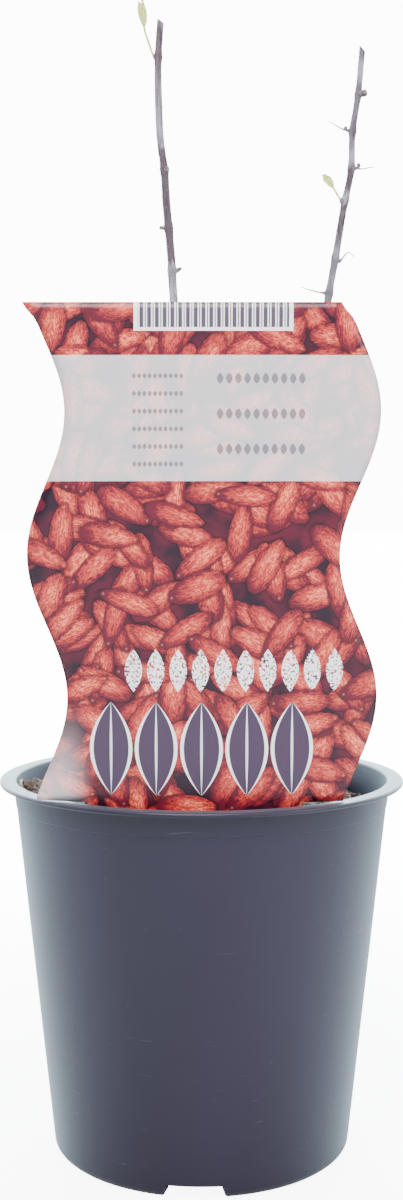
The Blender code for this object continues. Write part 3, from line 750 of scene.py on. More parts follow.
LEFT_CANE = Cane(
    (
        (0.0027, 0.0000, 0.1320),
        (-0.0013, 0.0012, 0.1800),
        (-0.0056, 0.0024, 0.2300),
        (-0.0090, 0.0034, 0.2740),
        (-0.0097, 0.0039, 0.2863),
        (-0.0113, 0.0043, 0.3054),
        (-0.0119, 0.0045, 0.3150),
        (-0.0134, 0.0047, 0.3274),
        (-0.0139, 0.0050, 0.3483),
        (-0.0129, 0.0052, 0.3650),
    ),
    0.0021,
    0.00115,
    (0.3508, 0.3150, 0.2965, 0.2828),
)
RIGHT_CANE = Cane(
    (
        (0.0072, 0.0000, 0.1320),
        (0.0190, -0.0008, 0.1720),
        (0.0300, -0.0017, 0.2140),
        (0.0371, -0.0023, 0.2500),
        (0.0403, -0.0028, 0.2729),
        (0.0425, -0.0031, 0.2858),
        (0.0451, -0.0035, 0.3018),
        (0.0473, -0.0037, 0.3132),
        (0.0476, -0.0039, 0.3246),
        (0.0494, -0.0041, 0.3373),
        (0.0508, -0.0045, 0.3540),
    ),
    0.0020,
    0.00095,
    (0.3366, 0.3252, 0.3136, 0.3037, 0.2855, 0.2747),
)
LEFT_CUT = (np.array((-0.0129, 0.0052, 0.3620)), np.array((0.60, -0.10, 0.80)))
RIGHT_CUT = (np.array((0.0507, -0.0045, 0.3504)), np.array((0.75, -0.10, 0.65)))
LEFT_PATCHES = (
    (0.3270, 0.3660, 0.50),
    (0.3470, 0.3540, 0.80),
    (0.2850, 0.3205, 1.00),
    (0.2400, 0.2520, 0.55),
    (0.1800, 0.2000, 0.80),
)
RIGHT_PATCHES = (
    (0.3345, 0.3385, 0.9),
    (0.3235, 0.3262, 0.8),
    (0.3075, 0.3150, 1.0),
    (0.2960, 0.3040, 0.8),
    (0.2840, 0.2868, 0.8),
    (0.2720, 0.2765, 0.8),
    (0.2150, 0.2300, 0.7),
    (0.1550, 0.1700, 0.8),
)

# Seed step, turns per radian, length along the bark and height of each relief
RIDGES = (0, 2.2, 0.0120, 0.040)
WRINKLES = (1, 4.0, 0.0011, 0.022)
LENTICELS = (2, 1.4, 0.0021, 0.16)
LENTICEL_LEVEL = 0.62
PATCH_WANDER = (5, 1.5, 0.0030, 0.0030)
PATCH_SOFTNESS = 0.0045
TURN_START = 20
CUT_SLOPE_ROWS = 5
CUT_FACE = ((0.93, -0.00002), (0.70, 0.00004), (0.40, 0.00010), (0.15, 0.00018), (0.0, 0.00020))
CUT_SHARES = (0.5, 0.6, 0.7, 0.9, 1.0)


def bark_cloud(seed, relief, heights, angles, octaves=2):
    """Smooth random values over bark, at the scales of one relief."""
    step, turns, length, _ = relief
    return cloud(seed + step, angles * turns + TURN_START, heights / length, octaves)


def bark_relief(heights, angles, seed):
    """Lengthwise ridges, fine wrinkles across them, and low round lenticels, as part of the radius."""
    ridges = RIDGES[3] * bark_cloud(seed, RIDGES, heights, angles)
    wrinkles = WRINKLES[3] * bark_cloud(seed, WRINKLES, heights, angles)
    raised = np.clip(bark_cloud(seed, LENTICELS, heights, angles, 1) - LENTICEL_LEVEL, 0.0, 1.0)
    return 1 + ridges + wrinkles + LENTICELS[3] * raised


def half_circle(angles):
    """The way round to each angle by the shorter side, so that a field on it meets itself."""
    return np.minimum(angles, 2 * math.pi - angles)


def sawn_end(rings, tangent, point, normal):
    """Carries the last ring on to a slanting cut, and closes it with a face that sinks to the pith."""
    last = rings[-1]
    reach = ((point - last) @ normal) / (tangent @ normal)
    rim = last + reach[:, None] * tangent
    middle = rim.mean(axis=0)
    share = np.linspace(0.0, 1.0, CUT_SLOPE_ROWS + 1)[1:, None, None]
    face = [middle + (rim - middle) * scale - normal * sink for scale, sink in CUT_FACE]
    return np.concatenate([rings, last + (rim - last) * share, face])


def cane_piece(name, cane, cut, patches, seed, finish):
    """One whole cane, from just inside the crown to its pruned tip."""
    point, normal = cut[0], cut[1] / np.linalg.norm(cut[1])
    line = cane.line[cane.line[:, 2] < point[2] - CUT_ROOM * cane.tip_radius]
    length = np.linalg.norm(np.diff(line, axis=0), axis=1).sum()
    line = even_line(line, int(length / RING_SPACING))
    angles = whole_turn(BARK_AROUND)
    circle = half_circle(angles)
    radii = cane.radius(line[:, 2])[:, None] * bark_relief(line[:, 2:], circle, seed)
    rings = tube_rings(line, radii, angles)
    body = sawn_end(rings, side_axes(line)[2][-1], point, normal)
    closed = np.concatenate([np.broadcast_to(line[0], rings[:1].shape), body])
    heights = closed[..., 2]
    wandering = heights + PATCH_WANDER[3] * bark_cloud(seed, PATCH_WANDER, heights, circle)
    tint = np.zeros_like(heights)
    for low, high, strength in patches:
        above = smooth_step(low - PATCH_SOFTNESS, low + PATCH_SOFTNESS, wandering)
        beyond = smooth_step(high - PATCH_SOFTNESS, high + PATCH_SOFTNESS, wandering)
        tint = np.maximum(tint, strength * above * (1 - beyond))
    cut_field = np.zeros_like(heights)
    cut_field[-len(CUT_SHARES):] = np.array(CUT_SHARES)[:, None]
    return grid_piece(name, closed, finish, fields={"tint": tint, "cut": cut_field}, sharp=50)


bark = bark_finish("bark")
for cane_name, cane, cut, patches, seed in (
    ("cane_left", LEFT_CANE, LEFT_CUT, LEFT_PATCHES, 21),
    ("cane_right", RIGHT_CANE, RIGHT_CUT, RIGHT_PATCHES, 41),
):
    piece = cane_piece(cane_name + "_bark", cane, cut, patches, seed, bark)
    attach(piece, "root")
    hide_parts(cane_name)

# The stem leans from its foot to the fork, with root lobes below and a closed crown on top
STEM_ROWS = 60
STEM_AROUND = 64
STEM_SEED = 61
STEM_TINT = (63, 1.5, 0.004)
STEM_SINK = 0.02
STEM_DEPTH = 0.0004
OLD_BARK_SCALE = 0.6
FLARE_FALL = 4
STEM_LOBES = 5
LOBE_TURN = 1
LOBE_HEIGHT = 0.10
LOBE_FALL = 3
CROWN_START = 0.45
CROWN_TOP = ((0.94, 0.0004), (0.80, 0.0009), (0.55, 0.0012), (0.25, 0.0013), (0.0, 0.0013))

stem_share = np.linspace(-STEM_SINK, 1.0, STEM_ROWS)
stem_line = STEM_FOOT + (STEM_FORK - STEM_FOOT) * stem_share[:, None]
stem_angles = whole_turn(STEM_AROUND)
stem_circle = half_circle(stem_angles)
rise = np.clip(stem_share, 0, 1)
stem_radii = STEM_RADIUS + ROOT_FLARE * np.exp(-FLARE_FALL * rise)
stem_radii = stem_radii + CROWN_SWELL * smooth_step(CROWN_START, 1.0, stem_share)
lobes = 1 + LOBE_HEIGHT * np.exp(-LOBE_FALL * rise)[:, None] * np.cos(STEM_LOBES * stem_angles + LOBE_TURN)
stem_radii = stem_radii[:, None] * lobes * (2 * bark_relief(stem_line[:, 2:], stem_circle, STEM_SEED) - 1)
stem_rings = tube_rings(stem_line, stem_radii, stem_angles)
crown = stem_rings[-1]
crown_middle = crown.mean(axis=0)
crown_top = [crown_middle + (crown - crown_middle) * scale + (0, 0, lift) for scale, lift in CROWN_TOP]
stem_points = np.concatenate([np.broadcast_to(stem_line[0], stem_rings[:1].shape), stem_rings, crown_top])
stem_points[..., 2] = np.maximum(stem_points[..., 2], SOIL_LEVEL - STEM_DEPTH)
tint_seed, tint_turns, tint_length = STEM_TINT
stem_tint = 0.5 + 0.5 * cloud(tint_seed, stem_circle * tint_turns, stem_points[..., 2] / tint_length, 2)
old_bark = bark_finish("old_bark", OLD_BARK_SCALE)
stem = grid_piece("stem_bark", stem_points, old_bark, fields={"tint": stem_tint}, sharp=50)
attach(stem, "root")
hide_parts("stem")


# Thorns, stubs and buds
# Short side growth at the nodes: dry thorns, broken stubs, and round resting buds. Each is a small
# tapering tube rooted in the bark, on the same path as its CAD solid.

THORN_AROUND = 12
SPUR_ROWS = 36
SPUR_STEPS = 8
SPUR_ROOT_FALL = 1.5
SPUR_TIP_ROWS = 2.5
SPUR_TIP_LEAST = 0.05
SPUR_ROOT = 0.0004
THORN = (0.0007, 0.00030, 0.00012)
THIN_STUB = (0.0008, 0.00050, 0.00045)
SPUR_WRINKLE = 0.10
SPUR_WRINKLE_LENGTH = 0.0004
SPUR_WRINKLE_TURNS = (2, 9)
BUD_ROWS = 12
BUD_SCALE = 0.10
BUD_SCALE_ROWS = 4
BUD_SCALE_WAVE = 0.3
BUD_LENGTH = 1.25
THORN_GREY = (0.130, 0.110, 0.120, 1.0)
THORN_DARK = (0.050, 0.030, 0.034, 1.0)
THORN_GRAIN = (0.75, (1400.0, 3.0), (0.45, 0.68), 0.00008)


def spur_line(cane, height, azimuth, path):
    """The line of a spur, from inside the bark to its tip."""
    skin = cane.radius(height)
    stations = [(skin - SPUR_ROOT, path[0]), (skin + SPUR_ROOT / 2, path[0]), *path[1:]]
    knots = [cane.beside(height, azimuth, out, up) for out, up in stations]
    return even_line(flowing_line(knots, SPUR_STEPS), SPUR_ROWS)


def spur_points(cane, height, azimuth, path, radii, seed):
    """A spur's closed tube: a root flare, a tapering shaft with faint rings, and a rounded tip."""
    root, shaft, tip = radii
    line = spur_line(cane, height, azimuth, path)
    share = np.linspace(0.0, 1.0, len(line))
    distance = share * np.linalg.norm(np.diff(line, axis=0), axis=1).sum()
    flare = (root - shaft) * np.exp(-((distance / (SPUR_ROOT_FALL * root)) ** 2))
    thick = shaft + (tip - shaft) * share + flare
    thick = thick * np.sqrt(np.clip((1.0 - share) * len(line) / SPUR_TIP_ROWS, SPUR_TIP_LEAST, 1.0))
    angles = whole_turn(THORN_AROUND)
    along = distance[:, None] / SPUR_WRINKLE_LENGTH
    turns, start = SPUR_WRINKLE_TURNS
    wrinkles = SPUR_WRINKLE * cloud(seed, half_circle(angles) * turns + start, along, 2)
    wrinkled = thick[:, None] * (1 + wrinkles)
    return with_tips(tube_rings(line, wrinkled, angles))


def bud_points(cane, height, azimuth, out, up, radius):
    """A round bud whose overlapping scales stand out as low steps."""
    down = np.linspace(0.0, math.pi, BUD_ROWS)[:, None]
    turn = whole_turn(THORN_AROUND)
    scales = (down / math.pi * BUD_SCALE_ROWS + np.cos(2 * turn) * BUD_SCALE_WAVE) % 1.0
    steps = 1 + BUD_SCALE * scales * np.sin(down)
    across = np.sin(down)
    egg = np.stack([across * np.cos(turn), across * np.sin(turn), BUD_LENGTH * np.cos(down) + 0 * turn], -1)
    return cane.beside(height, azimuth, out, up) + radius * steps[..., None] * egg


# Cane, node height, direction, path out and up, and radii at the root, along the shaft and at the tip
SPURS = {
    "stub_left_low": (LEFT_CANE, 0.2828, 0, (0.0002, (0.0031, 0.0010)), THIN_STUB),
    "stub_left_high": (LEFT_CANE, 0.2965, 180, (0.0, (0.0031, 0.0002)), (0.0007, 0.00065, 0.00055)),
    "cut_stub_right": (RIGHT_CANE, 0.3366, -35, (0.0, (0.0030, 0.0001)), (0.0011, 0.00105, 0.00100)),
    "thorn_right_low": (
        RIGHT_CANE, 0.2747, 180, (0.0001, (0.0040, 0.0005), (0.0064, 0.0011), (0.0090, 0.0020)), THORN,
    ),
    "thorn_right_curled": (
        RIGHT_CANE, 0.2855, 0,
        (-0.0006, (0.0027, 0.0007), (0.0041, 0.0021), (0.0054, 0.0011), (0.0060, 0.0001)), THORN,
    ),
    "thorn_right_high": (
        RIGHT_CANE, 0.3252, 180, (0.0002, (0.0032, 0.0007), (0.0056, 0.0020), (0.0079, 0.0032)), THORN,
    ),
    "thorn_right_middle": (
        RIGHT_CANE, 0.3136, 0, (0.0001, (0.0034, -0.0001), (0.0056, 0.0003), (0.0077, 0.0006)), THORN,
    ),
}
GOLDEN_ANGLE = 137.5
HIDDEN_GROWTH = (
    ((0.0, (0.0042, 0.0006), (0.0064, 0.0014), (0.0085, 0.0026)), (0.0008, 0.00035, 0.00014)),
    ((0.0, (0.0040, 0.0005)), (0.0008, 0.0006, 0.0005)),
)
for cane_name, cane, first_azimuth in (("cane_left", LEFT_CANE, 120), ("cane_right", RIGHT_CANE, 60)):
    for index, height in enumerate(cane.nodes[-HIDDEN_NODES:]):
        azimuth = first_azimuth + GOLDEN_ANGLE * index
        growth = HIDDEN_GROWTH[index % len(HIDDEN_GROWTH)]
        SPURS[f"{cane_name}_thorn_{index + 1}"] = (cane, height, azimuth, *growth)

thorn_wood = grained_finish("thorn_wood", (THORN_GREY, THORN_DARK), *THORN_GRAIN)
for number, (node_name, spur) in enumerate(SPURS.items()):
    piece = grid_piece(node_name + "_wood", spur_points(*spur, 200 + number), thorn_wood, sharp=60)
    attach(piece, "root")
    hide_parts(node_name)

# Cane, node height, direction, how far out and up, and radius
BUDS = (
    (RIGHT_CANE, 0.3252, 180, 0.0022, 0.0009, 0.00058),
    (RIGHT_CANE, 0.3136, 0, 0.0023, 0.0010, 0.00062),
    (RIGHT_CANE, 0.3037, 215, 0.0014, -0.0004, 0.00070),
    (LEFT_CANE, 0.3150, -55, 0.0013, 0.0000, 0.00085),
    (LEFT_CANE, 0.3508, 200, 0.0012, 0.0000, 0.00060),
)
buds = grid_piece("resting_buds", np.stack([bud_points(*bud) for bud in BUDS]), thorn_wood, sharp=60)
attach(buds, "root")


# Sprouts
# Two pale young shoots. Each is a stalk with soft folded leaves that have just opened.

LEAF_THICKNESS = 0.00022
STALK = (0.0006, 0.00034, 0.00036)
LEAF_GREEN = (0.360, 0.420, 0.090, 1.0)
LEAF_PALE = (0.520, 0.560, 0.240, 1.0)
LEAF_LIGHT = {"Subsurface_Weight": 0.25, "Subsurface_Scale": 0.001}
LEAF_GRAIN = (0.5, (1100.0, 3.0), (0.42, 0.62), 0.00006)
LEAF_ROWS = 25
LEAF_COLUMNS = 13
LEAF_OUTLINE = (0.04, 0.94, 0.85)
LEAF_RIPPLE = 0.10
LEAF_RIPPLE_RATES = (9, 2)
LEAF_ARCH = 0.05
LEAF_ROOT = (-0.0002, -0.0004)


def leaf_points(base, tip, width, facing, fold):
    """A young leaf: its half-width is a sine along it, its sides fold up and its tip arches over."""
    along = tip - base
    across = np.cross(along, facing)
    across /= np.linalg.norm(across)
    upward = np.cross(across, along)
    upward /= np.linalg.norm(upward)
    share = np.linspace(0.0, 1.0, LEAF_ROWS)[:, None]
    side = np.linspace(-1.0, 1.0, LEAF_COLUMNS)
    root, reach, power = LEAF_OUTLINE
    half = width / 2 * np.sin(math.pi * (root + reach * share) ** power)
    lengthwise, sideways = LEAF_RIPPLE_RATES
    ripple = LEAF_RIPPLE * width * np.sin(lengthwise * share + sideways * side) * np.abs(side)
    arch = LEAF_ARCH * np.linalg.norm(along) * np.sin(math.pi * share)
    lift = fold * np.abs(side) * half + arch + ripple
    return base + along * share[..., None] + across * (side * half)[..., None] + upward * lift[..., None]


def leaf_piece(name, base, tip, width, facing, fold, finish):
    """One leaf with its thickness."""
    points = leaf_points(base, tip, width, np.array(facing), fold)
    made = grid_piece(name, points, finish, wrap=False, sharp=80)
    solid = made.modifiers.new("thickness", "SOLIDIFY")
    solid.thickness = LEAF_THICKNESS
    solid.offset = 0.0
    apply_modifiers(made)
    return made


def join_pieces(name, pieces):
    """Several pieces made one mesh."""
    body = bmesh.new()
    for piece in pieces:
        body.from_mesh(piece.data)
    mesh = bpy.data.meshes.new(name)
    body.to_mesh(mesh)
    body.free()
    mesh.materials.append(pieces[0].data.materials[0])
    mesh.shade_smooth()
    for piece in pieces:
        bpy.data.objects.remove(piece)
    return new_object(name, mesh)


leaf_material = grained_finish("young_leaf", (LEAF_GREEN, LEAF_PALE), *LEAF_GRAIN, **LEAF_LIGHT)
# Cane, node height, stalk path, and each leaf's tip, width, facing and fold
SPROUTS = {
    "sprout_left": (
        LEFT_CANE, 0.3508, (0.0006, (0.0029, 0.0040), (0.0040, 0.0071), (0.0047, 0.0100)),
        (
            ((0.0063, 0.0176), 0.0029, (0.3, -1.0, 0.1), 0.40),
            ((0.0055, 0.0194), 0.0019, (0.6, 0.8, 0.0), 0.30),
        ),
    ),
    "sprout_right": (
        RIGHT_CANE, 0.3037, (0.0004, (0.0028, 0.0024), (0.0041, 0.0045)),
        (
            ((0.0074, 0.0081), 0.0027, (0.2, -1.0, 0.2), 0.35),
            ((0.0066, 0.0084), 0.0014, (0.5, 0.8, 0.3), 0.30),
        ),
    ),
}
for number, (node_name, (cane, height, path, leaves)) in enumerate(SPROUTS.items()):
    stalk_points = spur_points(cane, height, 180, path, STALK, 300 + number)
    stalk = grid_piece("stalk", stalk_points, leaf_material, sharp=60)
    base = cane.beside(height, 180, *np.add(path[-1], LEAF_ROOT))
    blades = [
        leaf_piece("blade", base, cane.beside(height, 180, *tip), width, facing, fold, leaf_material)
        for tip, width, facing, fold in leaves
    ]
    sprout = join_pieces(node_name + "_leaves", [stalk, *blades])
    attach(sprout, "root")
    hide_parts(node_name)


# Picture card
# A die-cut plastic-coated card between two equal waves. Its shoulders stand on the flange and its
# tongue in the peat. The front has a generic print of dried red fruits; the back and edge are white.

CARD_THICKNESS = 0.0005
CARD_WIDTH = 0.0906
CARD_MIDDLE = 0.0004
CARD_TOP = 0.2645
CARD_SHOULDER = POT_HEIGHT + GAP
CARD_WAVE = 0.0057
CARD_WAVE_LENGTH = 0.0828
CARD_WAVE_CREST = 0.2338
CARD_CORNER_SWEEP = 0.0021
CARD_CORNER_HEIGHT = 0.0055
CARD_FRONT = -0.0446
CARD_LEAN = 0.084
CARD_BOW = 0.0066
TONGUE_EDGES = (-0.0333, 0.0294)
TONGUE_TIP_EDGES = (-0.0180, 0.0140)
TONGUE_TAPER_TOP = 0.1140
TONGUE_BOTTOM = 0.0880
SIDE_COLUMNS = 6
MIDDLE_COLUMNS = 19
TONGUE_ROWS = 11
CARD_ROWS = 73

# The printed fruits: the width of a cell, shares of it, and where each shade begins and ends
FRUIT_CELL = 0.0205
FRUIT_HALF_LENGTH = 0.45
FRUIT_HALF_WIDTH = 0.180
FRUIT_JITTER = (0.07, 0.07, 0.0)
FRUIT_FATNESS = (0.30, 0.85)
FRUIT_TAPER = (-0.16, 1.0)
FRUIT_EDGE = (0.95, 1.0, 1.0, 0.0)
OUTLINE_NOISE = (9.0, 2.0)
OUTLINE_WOBBLE = (0.24, -0.10)
SHADOW_EDGE = (0.95, 1.14, 0.30, 1.0)
WRINKLE_NOISE = (1.0, 3.0, (9.0, 34.0, 1.0), 0.8)
WRINKLE_EDGE = (0.0, 0.11, 0.42, 1.14)
LIMB_EDGE = (0.30, 1.02, 1.0, 0.26)
UPPER_LIGHT = (1.3, 0.92)
OWN_LIGHT = (0.35, 0.80)
DEEP_EDGE = (0.15, 0.60)
LIGHT_EDGE = (0.60, 1.25)
SCAR_PLACE = (0.375, 0.0, 0.0)
SCAR_EDGE = (0.008, 0.024, 0.22, 0.0)
FRUIT_LAYERS = ((0.0, 3.3), (0.9, 11.7), (-0.5, 23.1), (0.45, 31.9), (-1.1, 47.6), (0.2, 58.4), (1.3, 71.2))
GROUND_NOISE = (120.0, 3.0)
GROUND_EDGE = (0.35, 0.70)
PRINT_DARK = (0.014, 0.002, 0.010, 1.0)
FRUIT_DEEP = (0.085, 0.004, 0.016, 1.0)
FRUIT_RED = (0.440, 0.034, 0.026, 1.0)
FRUIT_LIGHT = (0.880, 0.190, 0.105, 1.0)
FRUIT_SCAR = (0.640, 0.400, 0.250, 1.0)

# Inks, and the boxes (left, right, bottom, top) and rows (left, pitch, bottom, height, fullness) over them
PRINT_PALE = (0.860, 0.840, 0.860, 1.0)
PRINT_INK = (0.070, 0.050, 0.075, 1.0)
PRINT_PURPLE = (0.048, 0.026, 0.055, 1.0)
BLEACH_ACROSS = (-0.042, -0.031, 1.0, 0.0)
BLEACH_UP = (0.120, 0.152, 1.0, 0.0)
BLEACH_TONE = 0.45
BIG_LEAVES = (-0.0330, 0.0132, 0.1225, 0.0275, 0.80)
BIG_BOX = (-0.0330, 0.0330, 0.1210, 0.1515)
BIG_RIM = (1.16, 1.20, 1.0, 0.0)
BIG_BODY = (0.96, 1.0, 1.0, 0.0)
BIG_RIB = (0.05, 0.09, 0.8, 0.0)
SMALL_LEAVES = (-0.0230, 0.0065, 0.1530, 0.0125, 0.80)
SMALL_BOX = (-0.0230, 0.0420, 0.1525, 0.1660)
SMALL_BODY = (0.94, 1.0, 1.0, 0.0)
WEAR_NOISE = (1400.0, 3.0)
WEAR_EDGE = (0.40, 0.50)
BAND_BOX = (-0.1, 0.1, 0.2140, 0.2496)
BAND_TONE = 0.52
MARK_BODY = (0.90, 1.0, 0.75, 0.0)
MARK_FULLNESS = 0.75
MARK_SPREAD = 0.0300
MARK_BLOCKS = ((-0.0200, -0.0050, 0.2180, 6, 0.0016, 0.0015), (0.0040, 0.0300, 0.2215, 3, 0.0032, 0.0026))
STRIP_BOX = (-0.0192, 0.0260, 0.2565, 0.2660)
BARS_BOX = (-0.0180, 0.0248, 0.2575, 0.2660)
BAR_PITCH = 0.0022
THICK_BAR = (0.48, 0.52, 1.0, 0.0)
THIN_BAR_START = (0.68, 0.70)
THIN_BAR_END = (0.82, 0.84, 1.0, 0.0)
INK_BLUR = 0.00012
CARD_GLOSS = {"IOR": 1.40, "Coat_Weight": 0.10, "Coat_Roughness": 0.22}
SHEEN_NOISE = (30.0, 2.0)
SHEEN_SPREAD = (0.14, 0.31)
STOCK_GRAIN = (0.5, (55.0, 4.0), (0.35, 0.70), 0.0)
STOCK_SHADE = 0.88
BACK_WHITE = (0.82, 0.82, 0.80, 1.0)
EDGE_WHITE = (0.90, 0.90, 0.90, 1.0)


def card_points():
    """The sheet as a grid of heights by shares of its width, bowed at the rim and flat at its top."""
    shoulder_left = (TONGUE_EDGES[0] - card_left(CARD_SHOULDER)) / CARD_WIDTH
    shoulder_right = (TONGUE_EDGES[1] - card_left(CARD_SHOULDER)) / CARD_WIDTH
    shares = np.concatenate([
        np.linspace(0.0, shoulder_left, SIDE_COLUMNS)[:-1],
        np.linspace(shoulder_left, shoulder_right, MIDDLE_COLUMNS)[:-1],
        np.linspace(shoulder_right, 1.0, SIDE_COLUMNS),
    ])
    heights = np.concatenate([
        np.linspace(TONGUE_BOTTOM, CARD_SHOULDER, TONGUE_ROWS)[:-1],
        np.linspace(CARD_SHOULDER, CARD_TOP, CARD_ROWS),
    ])[:, None]
    taper = np.clip((TONGUE_TAPER_TOP - heights) / (TONGUE_TAPER_TOP - TONGUE_BOTTOM), 0.0, 1.0)
    tongue_left = TONGUE_EDGES[0] + (TONGUE_TIP_EDGES[0] - TONGUE_EDGES[0]) * taper
    tongue_right = TONGUE_EDGES[1] + (TONGUE_TIP_EDGES[1] - TONGUE_EDGES[1]) * taper
    tongue_share = (shares - shoulder_left) / (shoulder_right - shoulder_left)
    in_tongue = heights < CARD_SHOULDER - GAP / 10
    x = np.where(
        in_tongue,
        tongue_left + (tongue_right - tongue_left) * tongue_share,
        card_left(heights) + CARD_WIDTH * shares,
    )
    above = heights - POT_HEIGHT
    bow = CARD_BOW * (1 - np.maximum(0.0, above) / (CARD_TOP - POT_HEIGHT))
    y = CARD_FRONT - CARD_LEAN * above - bow * (1 - (2 * x / (CARD_WIDTH + CARD_WAVE)) ** 2)
    keep = ~in_tongue | ((shares >= shoulder_left - 1e-6) & (shares <= shoulder_right + 1e-6))
    return np.stack([x, y, heights + 0 * x], axis=-1), keep


def card_left(height):
    """The left edge: one wave, swept to the left over the last millimetres of height."""
    phase = 2 * math.pi * (height - CARD_WAVE_CREST) / CARD_WAVE_LENGTH
    sweep = CARD_CORNER_SWEEP * smooth_step(CARD_TOP - CARD_CORNER_HEIGHT, CARD_TOP, height)
    return CARD_MIDDLE + CARD_WAVE * np.cos(phase) - sweep - CARD_WIDTH / 2


def new_group(name, inputs, outputs):
    """An empty shader node group with named inputs and outputs."""
    group = bpy.data.node_groups.new(name, "ShaderNodeTree")
    for socket, kind in inputs.items():
        group.interface.new_socket(socket, in_out="INPUT", socket_type="NodeSocket" + kind)
    for socket, kind in outputs.items():
        group.interface.new_socket(socket, in_out="OUTPUT", socket_type="NodeSocket" + kind)
    return group


def vector(tree, operation, first, second=(0.0, 0.0, 0.0), out=0):
    """One sum on vectors."""
    return add_node(tree, "VectorMath", {0: first, 1: second}, out, operation=operation)


def turned_flat(tree, place, angle):
    """A place turned in the print's own plane."""
    return add_node(tree, "VectorRotate", {"Vector": place, "Angle": angle}, rotation_type="Z_AXIS")


def fruit_layer_group():
    """One layer of printed fruits over the colour below it.

    The card is divided into square cells, turned and shifted for each layer. Each cell holds one
    egg-shaped fruit, turned at random, with a dark rim, lengthwise wrinkles, a lit upper side, a
    pale scar at its tip, and a soft shadow on what lies below.
    """
    sockets = {"Place": "Vector", "Turn": "Float", "Seed": "Float", "Below": "Color"}
    group = new_group("fruit_layer", sockets, {"Colour": "Color"})
    given = group.nodes.new("NodeGroupInput").outputs
    turned = turned_flat(group, given["Place"], given["Turn"])
    shifted = vector(group, "ADD", vector(group, "MULTIPLY", turned, (1 / FRUIT_CELL,) * 3), given["Seed"])
    flat = vector(group, "MULTIPLY", shifted, (1.0, 1.0, 0.0))
    corner = vector(group, "FLOOR", flat)
    dice = {"Vector": corner, "W": given["Seed"]}
    chance = add_node(group, "TexWhiteNoise", dice, "Color", noise_dimensions="4D")
    split = add_node(group, "SeparateColor", {0: chance}).node.outputs
    centred = vector(group, "SUBTRACT", vector(group, "SUBTRACT", flat, corner), (0.5, 0.5, 0.0))
    moved = vector(group, "SUBTRACT", centred, vector(group, "MULTIPLY", chance, FRUIT_JITTER))
    local = turned_flat(group, moved, calc(group, "MULTIPLY", split["Blue"], 2 * math.pi))
    axes = add_node(group, "SeparateXYZ", {0: local}).node.outputs
    length = calc(group, "DIVIDE", axes["X"], FRUIT_HALF_LENGTH)
    fatness = calc(group, "MULTIPLY_ADD", split["Red"], *FRUIT_FATNESS)
    taper = calc(group, "MULTIPLY_ADD", length, *FRUIT_TAPER)
    half = calc(group, "MULTIPLY", calc(group, "MULTIPLY", fatness, taper), FRUIT_HALF_WIDTH)
    width = calc(group, "DIVIDE", axes["Y"], half)
    square = calc(group, "MULTIPLY_ADD", length, length, calc(group, "MULTIPLY", width, width))
    wobble = calc(group, "MULTIPLY_ADD", noise(group, local, *OUTLINE_NOISE), *OUTLINE_WOBBLE)
    distance = calc(group, "ADD", calc(group, "SQRT", square), wobble)
    wrinkle = noise(group, vector(group, "ADD", local, chance), *WRINKLE_NOISE)
    lines = ramp(group, calc(group, "ABSOLUTE", calc(group, "SUBTRACT", wrinkle, 0.5)), *WRINKLE_EDGE)
    limb = ramp(group, distance, *LIMB_EDGE)
    up = add_node(group, "SeparateXYZ", {0: moved}, "Y")
    lit = calc(group, "MULTIPLY_ADD", up, *UPPER_LIGHT)
    own_light = calc(group, "MULTIPLY_ADD", split["Green"], *OWN_LIGHT)
    surface = calc(group, "MULTIPLY", limb, lines)
    light = calc(group, "MULTIPLY", surface, calc(group, "MULTIPLY", lit, own_light))
    low = mix_colours(group, ramp(group, light, *DEEP_EDGE), FRUIT_DEEP, FRUIT_RED)
    fruit = mix_colours(group, ramp(group, light, *LIGHT_EDGE), low, FRUIT_LIGHT)
    from_scar = vector(group, "DISTANCE", local, SCAR_PLACE, "Value")
    scarred = mix_colours(group, ramp(group, from_scar, *SCAR_EDGE), fruit, FRUIT_SCAR)
    shade = vector(group, "MULTIPLY", given["Below"], ramp(group, distance, *SHADOW_EDGE))
    result = mix_colours(group, ramp(group, distance, *FRUIT_EDGE), shade, scarred)
    group.links.new(result, group.nodes.new("NodeGroupOutput").inputs["Colour"])
    return group


def span_mask(tree, value, low, high):
    """1 between two values, with edges as soft as ink."""
    after = ramp(tree, value, low - INK_BLUR, low)
    return calc(tree, "MULTIPLY", after, ramp(tree, value, high, high + INK_BLUR, 1.0, 0.0))


def box_mask(tree, x, z, left, right, bottom, top):
    """1 inside a rectangle of the card."""
    return calc(tree, "MULTIPLY", span_mask(tree, x, left, right), span_mask(tree, z, bottom, top))


def leaf_row(tree, x, z, left, pitch, bottom, height, fullness):
    """The distance field of a row of upright leaves: 1 on their outline and 0 on their midrib."""
    along = calc(tree, "DIVIDE", calc(tree, "SUBTRACT", x, left), pitch)
    across = calc(tree, "SUBTRACT", calc(tree, "FRACT", along), 0.5)
    rise = calc(tree, "DIVIDE", calc(tree, "SUBTRACT", z, bottom), height)
    centred = calc(tree, "MULTIPLY_ADD", rise, 2.0, -1.0)
    belly = calc(tree, "SUBTRACT", 1.0, calc(tree, "MULTIPLY", centred, centred))
    half = calc(tree, "MAXIMUM", calc(tree, "MULTIPLY", belly, fullness / 2), 0.0001)
    return calc(tree, "DIVIDE", calc(tree, "ABSOLUTE", across), half)


